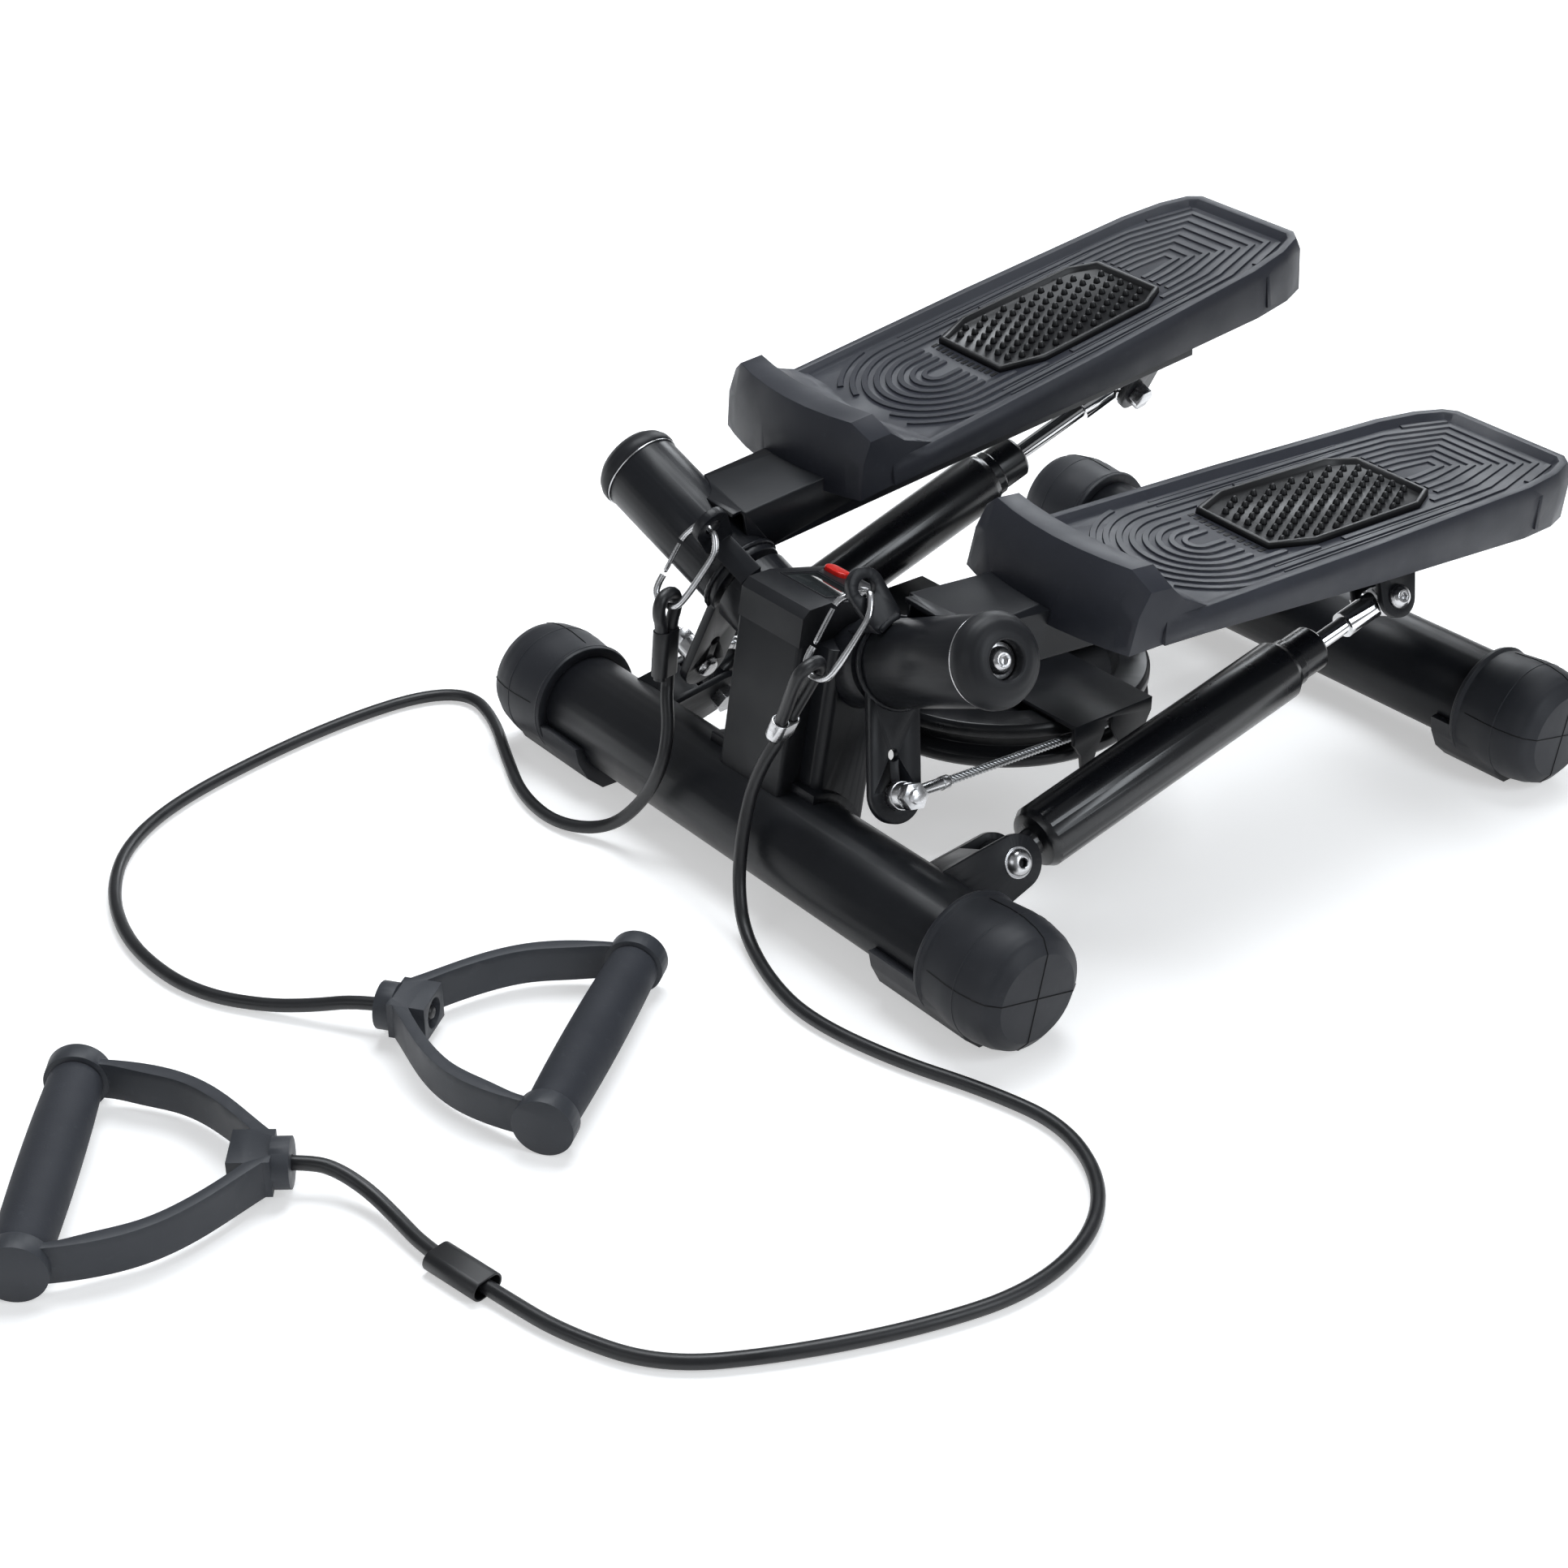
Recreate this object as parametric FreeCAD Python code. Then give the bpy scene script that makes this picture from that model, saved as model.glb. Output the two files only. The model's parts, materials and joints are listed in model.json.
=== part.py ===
"""Swing stepper with resistance bands, as separate named solids.

Millimetres. X points to the user's left, Y to the rear, Z up.
The origin is on the floor, midway between the two base tubes.
The left pedal is modelled at its low stop and the right pedal at its high stop.
"""
import os
import math
import FreeCAD, Part
from FreeCAD import Vector as V

# ---- driving dimensions -------------------------------------------------
TUBE_R, TUBE_WALL = 28.5, 2.0        # both base tubes
AXLE_Z = 36.0                        # base tube centre height
BASE_Y = 209.0                       # base tube centres at -BASE_Y and +BASE_Y
FRONT_LIP, REAR_LIP = 167.0, 159.0   # foot lip, distance from the centre plane
FOOT_LEN = 54.0                      # lip to end face
FOOT_TONGUE = {"front": 36.0, "rear": 14.0}

POST_W, POST_D, POST_WALL = 80.0, 40.0, 2.5
POST_LEAN = 9.4                      # degrees, top to the rear
POST_TOP = 147.0

HEAD_HALF_W = 26.0                   # console head and cover, half width
PIVOT_END = V(146.1, -179.7, 182.6)  # outer end of the left pivot sleeve
PIVOT_DIR = V(0.9005, -0.1048, 0.4222)
PIVOT_DIR.normalize()
SLEEVE_R, SLEEVE_WALL = 23.3, 3.3
SLEEVE_LEN = 87.0
AXLE_R = 9.0
RUN = 0.06                           # radial running clearance
LEVER_T = 6.0
LEVER_DOWN, LEVER_FWD, LEVER_R = 67.0, 11.5, 15.0
HALF_SWING = 6.13                    # degrees each side of level

LUG_T, LUG_HOLE_R, LUG_REACH = 5.0, 5.0, 47.0
LUG_AT = 75.0                        # along the axle from the sleeve's outer end
LUG_LEAN = {"left": 22.0, "right": 35.0}
LUG_SWEEP = 3.8                       # room for the arm corner that turns past the lug

ARM_X0, ARM_X1, ARM_H = 64.0, 116.0, 28.0
ARM_SLOPE = 2.3
PEDAL_X, PEDAL_SLOPE = 102.5, 5.216
PEDAL_H, PEDAL_DROP = 14.0, 0.066     # skirt depth at the front, and how fast it deepens to the rear
TOE_H, TRAY = 27.0, 4.0

DAMPER_LOW = V(129.4, -149.0, 47.7)
DAMPER_TOP = V(125.3, 142.7, 110.9)  # left side, low stop
BARREL_R, BARREL_LEN, ROD_R = 17.8, 194.0, 5.0

PULLEY_R, PULLEY_Z0, PULLEY_Z1, PULLEY_Y = 87.0, 55.0, 82.0, -38.0
CABLE_R, CABLE_Z = 2.5, 68.5
BAND_R = 3.6
GRIP_R, GRIP_LEN = 14.4, 128.0

X, Y, Z = V(1, 0, 0), V(0, 1, 0), V(0, 0, 1)
O = V(0, 0, 0)


# ---- helpers ------------------------------------------------------------
def cyl(r, a, b):
    d = b - a
    return Part.makeCylinder(r, d.Length, a, d)


def ring(ro, ri, a, b):
    d = (b - a) * (1.0 / (b - a).Length)
    return cyl(ro, a, b).cut(cyl(ri, a - d, b + d))


def box(x0, x1, y0, y1, z0, z1):
    return Part.makeBox(x1 - x0, y1 - y0, z1 - z0, V(x0, y0, z0))


def face(points):
    return Part.Face(Part.makePolygon(points + [points[0]]))


def fuse(shapes):
    out = shapes[0]
    for s in shapes[1:]:
        out = out.fuse(s)
    return out.removeSplitter()


def revolve(profile, axis=V(0, 0, 1)):
    """Solid from (radius, height) points turned about local Z."""
    return face([V(r, 0, h) for r, h in profile]).revolve(O, axis, 360)


def frame(origin, zdir, ydir):
    """Placement whose local Z is zdir and local Y is as near ydir as it can be."""
    z = V(zdir); z.normalize()
    y = ydir - z * ydir.dot(z); y.normalize()
    x = y.cross(z)
    m = FreeCAD.Matrix(x.x, y.x, z.x, origin.x, x.y, y.y, z.y, origin.y,
                       x.z, y.z, z.z, origin.z, 0, 0, 0, 1)
    return FreeCAD.Placement(m)


def placed(shape, placement):
    s = shape.copy()
    s.Placement = placement.multiply(s.Placement)
    return s


def mirrored(shape):
    return shape.mirror(O, X)


def turned(shape, centre, axis, degrees):
    s = shape.copy()
    s.rotate(centre, axis, degrees)
    return s


def hull2(c0, r0, c1, r1, z0, z1):
    """Prism over two circles and the tangent band between them, local XY."""
    a, b = V(c0[0], c0[1], 0), V(c1[0], c1[1], 0)
    d = b - a
    ang = math.atan2(d.y, d.x)
    off = math.acos((r0 - r1) / d.Length)
    pts = []
    for s in (1, -1):
        n = V(math.cos(ang + s * off), math.sin(ang + s * off), 0)
        pts.append((a + n * r0, b + n * r1))
    quad = face([pts[0][0], pts[0][1], pts[1][1], pts[1][0]])
    up = V(0, 0, z1 - z0)
    body = quad.extrude(up).fuse(Part.makeCylinder(r0, z1 - z0, a))
    body = body.fuse(Part.makeCylinder(r1, z1 - z0, b)).removeSplitter()
    body.translate(V(0, 0, z0))
    return body


def hexagon(af, z0, z1, at=O):
    r = af / math.sqrt(3)
    p = [V(at.x + r * math.cos(math.radians(60 * i)), at.y + r * math.sin(math.radians(60 * i)), z0)
         for i in range(6)]
    return face(p).extrude(V(0, 0, z1 - z0))


def button_head(r, h, z0, socket=2.6):
    """Domed bolt head standing on local z0, socket open to +Z."""
    head = revolve([(0, z0), (r, z0), (r, z0 + 0.25 * h), (0.82 * r, z0 + 0.72 * h),
                    (0.55 * r, z0 + h), (0, z0 + h)])
    return head.cut(hexagon(socket * 1.6, z0 + 0.45 * h, z0 + h + 1))


def route_radius(p, q, r):
    a, b = p - q, r - q
    turn = math.pi - a.getAngle(b)
    return 0.45 * min(a.Length, b.Length) / math.tan(turn / 2), turn


def cord(points, radius, label):
    """Round cord: straight runs joined by tangent arcs."""
    edges, start, length = [], points[0], 0.0
    radii = []
    for i in range(1, len(points) - 1):
        p, q, r = points[i - 1], points[i], points[i + 1]
        rad, turn = route_radius(p, q, r)
        if turn < 0.004:
            continue
        cut = rad * math.tan(turn / 2)
        u, w = (p - q), (r - q)
        u.normalize(); w.normalize()
        a, b = q + u * cut, q + w * cut
        m = u + w
        m.normalize()
        mid = q + m * (rad / math.cos(turn / 2) - rad)
        if (a - start).Length > 0.01:
            edges.append(Part.makeLine(start, a))
            length += (a - start).Length
        edges.append(Part.Arc(a, mid, b).toShape())
        length += rad * turn
        radii.append(round(rad, 1))
        start = b
    edges.append(Part.makeLine(start, points[-1]))
    length += (points[-1] - start).Length
    wire = Part.Wire(edges)
    t = (points[1] - points[0])
    circle = Part.Wire([Part.makeCircle(radius, points[0], t)])
    body = wire.makePipeShell([circle], True, False, 0)
    ratio = body.Volume / (math.pi * radius ** 2 * length)
    print("%s: length %.1f mm, arc radii %s, volume ratio %.4f" % (label, length, radii, ratio))
    return body


# ---- frames of the swinging parts ---------------------------------------
UP = Z
PIVOT = frame(PIVOT_END, PIVOT_DIR, UP)      # local Z outward, X rearward, Y up


def on_pivot(shape):
    return placed(shape, PIVOT)


def posed_left(shape):
    return turned(shape, PIVOT_END, PIVOT_DIR, -HALF_SWING)


def posed_right(shape):
    return mirrored(turned(shape, PIVOT_END, PIVOT_DIR, HALF_SWING))


# ---- base ---------------------------------------------------------------
def base_tube(y, half):
    c = V(0, y, AXLE_Z)
    return ring(TUBE_R, TUBE_R - TUBE_WALL, c - X * half, c + X * half)


def tube_space(y, r=TUBE_R, half=230.0):
    c = V(0, y, AXLE_Z)
    return cyl(r, c - X * half, c + X * half)


def foot(side, y, lip, tongue):
    """Round end cap with a bead at its lip and a flat sole that runs in under the tube."""
    prof = [(0, 0), (34.0, 0), (34.6, 1.5), (34.6, 3.5), (33.6, 5), (34.2, 12), (35.4, 24),
            (35.2, 34), (33.6, 43), (31.2, 49), (24.5, FOOT_LEN), (0, FOOT_LEN)]
    cap = revolve(prof)
    cap = placed(cap, frame(V(lip, y, AXLE_Z), X, UP))
    sole = face([V(0, y - 15, 0), V(0, y + 15, 0), V(0, y + 25, 9), V(0, y + 31, 21),
                 V(0, y + 33, 31), V(0, y - 33, 31), V(0, y - 31, 21), V(0, y - 25, 9)])
    x0 = lip - tongue
    sole.translate(V(x0, 0, 0))
    sole = sole.extrude(V(tongue + 30, 0, 0))
    body = cap.fuse(sole).removeSplitter()
    body = body.cut(box(x0 - 1, lip + 80, y - 60, y + 60, -20, 0))
    body = body.cut(cyl(TUBE_R, V(x0 - 5, y, AXLE_Z), V(lip + 40, y, AXLE_Z)))
    return body if side == "left" else mirrored(body)


def post_box(w, d, z0, z1, grow=0.0):
    """Leaning box: centre line through y=-185.4 at z=57."""
    k = math.tan(math.radians(POST_LEAN))
    yc = lambda z: -185.4 + (z - 57.0) * k
    hw, hd = w / 2 + grow, d / 2 + grow
    a = Part.makePolygon([V(-hw, yc(z0) - hd, z0), V(hw, yc(z0) - hd, z0),
                          V(hw, yc(z0) + hd, z0), V(-hw, yc(z0) + hd, z0), V(-hw, yc(z0) - hd, z0)])
    b = Part.makePolygon([V(-hw, yc(z1) - hd, z1), V(hw, yc(z1) - hd, z1),
                          V(hw, yc(z1) + hd, z1), V(-hw, yc(z1) + hd, z1), V(-hw, yc(z1) - hd, z1)])
    return Part.makeLoft([a, b], True, True)


def post():
    outer = post_box(POST_W, POST_D, 30, POST_TOP)
    long_edges = [e for e in outer.Edges if abs(e.tangentAt(e.FirstParameter).z) > 0.9]
    outer = outer.makeFillet(6.0, long_edges)
    inner = post_box(POST_W - 2 * POST_WALL, POST_D - 2 * POST_WALL, 20, POST_TOP - POST_WALL)
    bead = post_box(POST_W, POST_D, 20, 90, 5.0).common(tube_space(-BASE_Y, TUBE_R + 5.0))
    bead = bead.cut(box(-60, 60, -300, -100, 0, 38))
    return outer.cut(inner).fuse(bead).cut(tube_space(-BASE_Y)).removeSplitter()


def post_solid():
    return post_box(POST_W, POST_D, 20, POST_TOP)


FRONT_K = math.tan(math.radians(9.42))


def front_y(z):
    return -220.0 + (z - 50.0) * FRONT_K


def post_cover():
    w = HEAD_HALF_W
    z0, z1 = 50.0, 148.0
    pts = [V(-w, front_y(z0), z0), V(-w, front_y(z1), z1), V(-w, -178, z1), V(-w, -200, z0)]
    body = face(pts).extrude(V(2 * w, 0, 0))
    edges = [e for e in body.Edges if abs(e.tangentAt(e.FirstParameter).x) < 0.1
             and e.BoundBox.YMax < -203 + 1 and e.Length > 80]
    if edges:
        body = body.makeFillet(2.5, edges)
    pts = [V(-w + 2.5, front_y(z0 + 2.5) + 2.6, z0 + 2.5), V(-w + 2.5, front_y(z1) + 2.6, z1 - 2.5),
           V(-w + 2.5, -170, z1 - 2.5), V(-w + 2.5, -170, z0 + 2.5)]
    inner = face(pts).extrude(V(2 * w - 5, 0, 0))
    body = body.cut(inner).cut(post()).cut(post_solid()).cut(tube_space(-BASE_Y))
    return body.cut(hub_space()).cut(mirrored(hub_space()))


HEAD_FLAT_Y, HEAD_BACK_Y, HEAD_TOP = -182.0, -137.0, 168.0
HEAD_FALL = math.tan(math.radians(14.0))


def head_z(y):
    return HEAD_TOP - max(0.0, y - HEAD_FLAT_Y) * HEAD_FALL


def console_head():
    w = HEAD_HALF_W
    z0 = 148.0
    pts = [V(-w, front_y(z0), z0), V(-w, front_y(HEAD_TOP - 4), HEAD_TOP - 4),
           V(-w, front_y(HEAD_TOP) + 4, HEAD_TOP), V(-w, HEAD_FLAT_Y, HEAD_TOP),
           V(-w, HEAD_BACK_Y, head_z(HEAD_BACK_Y)), V(-w, HEAD_BACK_Y, z0)]
    body = face(pts).extrude(V(2 * w, 0, 0))
    back = [e for e in body.Edges if e.BoundBox.YMin > HEAD_BACK_Y - 0.1 and e.BoundBox.ZLength > 4]
    body = body.makeFillet(6.0, back)
    core = box(-w + 3, w - 3, front_y(z0) + 6, HEAD_BACK_Y - 3, z0 - 1, z0 + 4.5)
    body = body.cut(core)
    body = body.cut(placed(box(-17, 17, -11, 11, -2.0, 5), head_frame(-168.0)))
    body = body.cut(button_shape(0.4, -4.4, 6.0))
    return body.cut(hub_space()).cut(mirrored(hub_space()))


def head_frame(y):
    """Local Z normal to the sloping display face, origin on it at y."""
    n = V(0, HEAD_FALL, 1)
    return frame(V(0, y, head_z(y)), n, Y)


def display_window():
    win = box(-16.9, 16.9, -10.9, 10.9, -1.9, -0.3)
    return placed(win, head_frame(-168.0))


def button_shape(grow, z0, z1):
    r = 4.0 + grow
    body = hull2((-19.0, 0), r, (-10.0, 0), r, z0, z1)
    return placed(body, head_frame(-145.5))


def console_button():
    r = 4.0
    body = hull2((-19.0, 0), r, (-10.0, 0), r, -2.2, 2.6)
    top = [e for e in body.Edges if e.BoundBox.ZMin > 2.5]
    body = body.makeFillet(1.0, top)
    return placed(body, head_frame(-145.5))


def main_beam():
    """Box beam: level over the pulley, then down to the rear tube."""
    hw = 20.0
    pts = [V(-hw, -170, 86), V(-hw, 55, 86), V(-hw, 212, 42), V(-hw, 212, 67), V(-hw, 62, 109), V(-hw, -170, 109)]
    outer = face(pts).extrude(V(2 * hw, 0, 0))
    w = 2.0
    pin = [V(-hw + w, -175, 88), V(-hw + w, 55.4, 88), V(-hw + w, 214, 44.2), V(-hw + w, 214, 64.8),
           V(-hw + w, 61.6, 107), V(-hw + w, -175, 107)]
    inner = face(pin).extrude(V(2 * hw - 2 * w, 0, 0))
    body = outer.cut(inner)
    body = body.cut(tube_space(BASE_Y)).cut(post_solid())
    for s in (hub_space(), mirrored(hub_space())):
        body = body.cut(s)
    return max(body.Solids, key=lambda s: s.Volume)


# ---- fixed hubs with the band lugs --------------------------------------
HUB_END = -97.0


def hub_space():
    a = on_pivot(Part.makeCylinder(SLEEVE_R, 90, V(0, 0, -180)))
    return a.common(box(0, 200, -300, 0, 0, 300))


def hub(side):
    """Fixed pivot tube off the post, with the curved strap and lug that hold the band."""
    tube = Part.makeCylinder(SLEEVE_R, 90, V(0, 0, HUB_END - 90))
    bore = Part.makeCylinder(SLEEVE_R - 3.0, 90, V(0, 0, HUB_END - 90 - 8))
    axle_hole = Part.makeCylinder(AXLE_R, 40, V(0, 0, HUB_END - 20))
    body = on_pivot(tube.cut(bore).cut(axle_hole))
    body = body.common(box(0, 200, -300, 0, 0, 300)).cut(post_solid())
    lean = LUG_LEAN[side]
    strap = Part.makeCylinder(SLEEVE_R + 4.0, 33, V(0, 0, -104)).cut(
        Part.makeCylinder(SLEEVE_R + 1.0, 60, V(0, 0, -120)))
    root = Part.makeCylinder(SLEEVE_R + 4.0, 7, V(0, 0, -104)).cut(
        Part.makeCylinder(SLEEVE_R - 1.0, 60, V(0, 0, -120)))
    wedge = face([V(0, 0, -120), V(-16, 60, -120), V(16, 60, -120)]).extrude(V(0, 0, 80))
    strap = strap.fuse(root).common(wedge)
    plate = hull2((0, SLEEVE_R + 6), 9.5, (0, LUG_REACH), 10.6, -LUG_AT - LUG_T / 2, -LUG_AT + LUG_T / 2)
    plate = plate.cut(Part.makeCylinder(SLEEVE_R + 1.0, 60, V(0, 0, -120)))
    plate = plate.cut(Part.makeCylinder(LUG_HOLE_R, 60, V(0, LUG_REACH, -120)))
    lug = strap.fuse(plate).removeSplitter()
    lug.rotate(O, Z, lean)
    body = body.fuse(on_pivot(lug).cut(post_solid())).removeSplitter()
    return body if side == "left" else mirrored(body)


def axle(side):
    """Pivot shaft with its spacer, end washer and bolt head."""
    shaft = Part.makeCylinder(AXLE_R, 115, V(0, 0, -110))
    spacer = Part.makeCylinder(14.0, 3.4, V(0, 0, HUB_END + 0.2))
    washer = Part.makeCylinder(9.2, 1.6, V(0, 0, 5.0))
    head = button_head(7.0, 5.0, 6.6)
    body = fuse([shaft, spacer, washer, head])
    body = on_pivot(body)
    return body if side == "left" else mirrored(body)


# ---- arm group, at level, left side -------------------------------------
def sleeve():
    tube = Part.makeCylinder(SLEEVE_R, SLEEVE_LEN - 0.3, V(0, 0, -SLEEVE_LEN))
    bore = Part.makeCylinder(SLEEVE_R - SLEEVE_WALL, SLEEVE_LEN + 10, V(0, 0, -SLEEVE_LEN - 5))
    inner = Part.makeCylinder(SLEEVE_R - SLEEVE_WALL, 8, V(0, 0, -SLEEVE_LEN)).cut(
        Part.makeCylinder(AXLE_R + RUN, 20, V(0, 0, -SLEEVE_LEN - 5)))
    return on_pivot(tube.cut(bore).fuse(inner).removeSplitter())


def sleeve_space():
    return on_pivot(Part.makeCylinder(SLEEVE_R, SLEEVE_LEN + LEVER_T, V(0, 0, -SLEEVE_LEN - LEVER_T)))


def end_cap():
    """Domed plastic cap pressed into the sleeve, recessed for the bolt."""
    dome = revolve([(AXLE_R + RUN, -10), (SLEEVE_R - SLEEVE_WALL, -10), (SLEEVE_R - SLEEVE_WALL, -0.3),
                    (24.1, -0.3), (24.6, 1.5), (24.4, 4.5), (22.6, 8.5), (19.2, 11.8), (14.5, 13.8),
                    (10.4, 14.2), (10.0, 13.4), (10.0, 4.6), (AXLE_R + RUN, 4.6)])
    return on_pivot(dome)


def arm_box(grow=0.0):
    k = math.tan(math.radians(ARM_SLOPE))
    top = lambda y: 184.3 + (y + 148.5) * k
    y0, y1 = -172.0, 162.0
    pts = [V(ARM_X0 - grow, y0, top(y0) - ARM_H - grow), V(ARM_X0 - grow, y1, top(y1) - ARM_H - grow),
           V(ARM_X0 - grow, y1, top(y1) + grow), V(ARM_X0 - grow, y0, top(y0) + grow)]
    return face(pts).extrude(V(ARM_X1 - ARM_X0 + 2 * grow, 0, 0))


def arm():
    outer = arm_box()
    k = math.tan(math.radians(ARM_SLOPE))
    top = lambda y: 184.3 + (y + 148.5) * k
    w = 2.5
    pts = [V(ARM_X0 + w, -200, top(-200) - ARM_H + w), V(ARM_X0 + w, 162 - w, top(162) - ARM_H + w),
           V(ARM_X0 + w, 162 - w, top(162) - w), V(ARM_X0 + w, -200, top(-200) - w)]
    inner = face(pts).extrude(V(ARM_X1 - ARM_X0 - 2 * w, 0, 0))
    corner = placed(box(-30, LUG_SWEEP, 15, 60, -110, -LUG_AT + LUG_T / 2 + 0.8), PIVOT)
    body = outer.cut(inner).cut(sleeve_space()).cut(corner)
    return max(body.Solids, key=lambda s: s.Volume)


def lever():
    """Plate square to the axle at the sleeve's inner end, hanging down to the cable bolt."""
    z1 = -SLEEVE_LEN
    z0 = z1 - LEVER_T + 0.3
    disc = Part.makeCylinder(SLEEVE_R, z1 - z0, V(0, 0, z0))
    a = (-4.0, -8.0)
    plate = hull2(a, LEVER_R, (-LEVER_FWD, -LEVER_DOWN), LEVER_R, z0, z1)
    body = disc.fuse(plate).removeSplitter()
    body = body.cut(Part.makeCylinder(AXLE_R + RUN, 20, V(0, 0, z0 - 5)))
    body = body.cut(Part.makeCylinder(4.1, 20, V(-LEVER_FWD, -LEVER_DOWN, z0 - 5)))
    body = body.cut(Part.makeCylinder(3.0, 20, V(-10.4, -46.0, z0 - 5)))
    return on_pivot(body)


CABLE_HOOK = V(-LEVER_FWD, -LEVER_DOWN, -SLEEVE_LEN + 9.2)   # on the pivot frame


def cable_start(swing):
    p = PIVOT.multVec(CABLE_HOOK)
    rot = FreeCAD.Rotation(PIVOT_DIR, swing)
    return PIVOT_END + rot.multVec(p - PIVOT_END)


def cable_tangent():
    """Point where the straight cable meets the pulley groove, left side."""
    return V(PULLEY_R - 5.0, PULLEY_Y, CABLE_Z)


def cable_end(swing):
    """Lever bolt with washer and nut, and the swaged eye that takes the cable; posed."""
    z1 = -SLEEVE_LEN
    z0 = z1 - LEVER_T + 0.3
    at = V(-LEVER_FWD, -LEVER_DOWN, 0)
    bolt = Part.makeCylinder(4.0, z1 - z0 + 23, V(at.x, at.y, z0 - 1))
    head = revolve([(0, 0), (6.6, 0), (6.6, -1.2), (5.2, -3.6), (3.4, -4.6), (0, -4.6)])
    head.translate(V(at.x, at.y, z0))
    nut = hexagon(13.0, z1 + 12.6, z1 + 19.2, at)
    washer = Part.makeCylinder(7.5, 6.0, V(at.x, at.y, z1))
    eye = Part.makeCylinder(7.0, 6.4, V(at.x, at.y, z1 + 6.0))
    parts = on_pivot(fuse([bolt, head, nut, washer, eye]))
    rot = turned(parts, PIVOT_END, PIVOT_DIR, swing)
    p = cable_start(swing)
    d = cable_tangent() - p
    d.normalize()
    ferrule = cyl(3.3, p + d * 6.0, p + d * 27.0).fuse(cyl(3.7, p + d * 27.0, p + d * 32.0))
    return rot.fuse(ferrule).removeSplitter()


def cable_strand(swing):
    p = cable_start(swing)
    q = cable_tangent()
    d = q - p
    d.normalize()
    return cyl(CABLE_R, p + d * 32.3, q - d * 0.4)


# ---- pedals -------------------------------------------------------------
PEDAL = frame(V(PEDAL_X, -60.5, 197.0), V(0, -math.sin(math.radians(PEDAL_SLOPE)),
                                          math.cos(math.radians(PEDAL_SLOPE))), Y)
OUTLINE = [(-65.7, 0), (-64.0, 130), (-59.6, 253), (-55.0, 281), (-48.0, 298), (-40.0, 304),
           (40.0, 304), (48.0, 298), (55.0, 281), (59.6, 253), (64.0, 130), (65.7, 0),
           (64.5, -24), (-64.5, -24)]


def inset(points, d):
    """Polygon moved in by d on every side."""
    out, n = [], len(points)
    for i in range(n):
        p0, p1, p2 = points[i - 1], points[i], points[(i + 1) % n]
        a = V(p1[0] - p0[0], p1[1] - p0[1], 0); a.normalize()
        b = V(p2[0] - p1[0], p2[1] - p1[1], 0); b.normalize()
        na, nb = V(a.y, -a.x, 0), V(b.y, -b.x, 0)
        m = na + nb
        m = m * (d / max(0.2, (m.Length ** 2) / 2.0))
        out.append((p1[0] + m.x, p1[1] + m.y))
    return out


def wire(points, z):
    p = [V(x, y, z) for x, y in points]
    return Part.makePolygon(p + [p[0]])


def toe_section(x):
    """Profile of the toe-stop at x: bowed front, ledge on top, hollow back; the ends are bevelled."""
    f = (x / 64.0) ** 2
    top = TOE_H - 9.0 * max(0.0, (abs(x) - 52.0) / 12.0)
    pts = [(-59 + 11 * f, -PEDAL_H), (-53 + 10 * f, 0.35 * top), (-46 + 10 * f, top), (-30 + 8 * f, top - 1),
           (-22 + 8 * f, 0.5 * top), (-12 + 9 * f, 0.18 * top), (2 + 4 * f, -TRAY + 3 * f),
           (8, -TRAY - 1 + 3 * f), (8, -PEDAL_H)]
    p = [V(x, y, z) for y, z in pts]
    return Part.makePolygon(p + [p[0]])


def toe_stop():
    """Raised block across the front of the pedal, lofted through its sections."""
    return Part.makeLoft([toe_section(x) for x in (-64, -52, -36, -18, 0, 18, 36, 52, 64)], True, True)


def skirt_bottom(y):
    return -PEDAL_H - PEDAL_DROP * max(y, 0.0)


def pedal():
    """Tray with raised chamfered rim, toe-stop and a skirt that deepens to the rear, hollow underneath."""
    deep, outside = -42.0, inset(OUTLINE, -1.5)
    slab = Part.makeLoft([wire(inset(OUTLINE, 0.5), deep), wire(outside, -7)], True, True)
    rim = Part.makeLoft([wire(outside, -7), wire(inset(OUTLINE, 1.0), 0)], True, True)
    tray = Part.makeLoft([wire(inset(OUTLINE, 9.5), -TRAY), wire(inset(OUTLINE, 5.0), 0.5)], True, True)
    under = Part.makeLoft([wire(inset(OUTLINE, 4.5), deep - 1), wire(inset(OUTLINE, 5.5), -TRAY - 3.5)], True, True)
    body = slab.fuse(rim).cut(tray).cut(under)
    ribs = [box(-60, 60, y - 1.25, y + 1.25, skirt_bottom(y) + 4, -TRAY - 3) for y in (60.0, 130.0, 200.0, 262.0)]
    body = fuse([body, toe_stop()] + ribs)
    below = face([V(-80, -90, -PEDAL_H), V(-80, 0, -PEDAL_H), V(-80, 320, skirt_bottom(320)), V(-80, 320, -60),
                  V(-80, -90, -60)]).extrude(V(160, 0, 0))
    pocket = Part.makeLoft([wire(inset(PAD, 0), -TRAY - 2.0), wire(inset(PAD, 0), 2)], True, True)
    body = body.cut(below).cut(pocket)
    for s in (-1, 1):
        body = body.fuse(Part.makeCylinder(8.0, 16.0, V(s * 46.0, 232.0, skirt_bottom(232.0) - 5)))
    body = placed(body.removeSplitter(), PEDAL)
    body = body.cut(arm_box(0.0)).cut(sleeve_space())
    return max(body.Solids, key=lambda s: s.Volume)


PAD = [(-28, 82), (-38, 108), (-37, 188), (-27, 206), (27, 206), (37, 188), (38, 108), (28, 82)]


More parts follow.
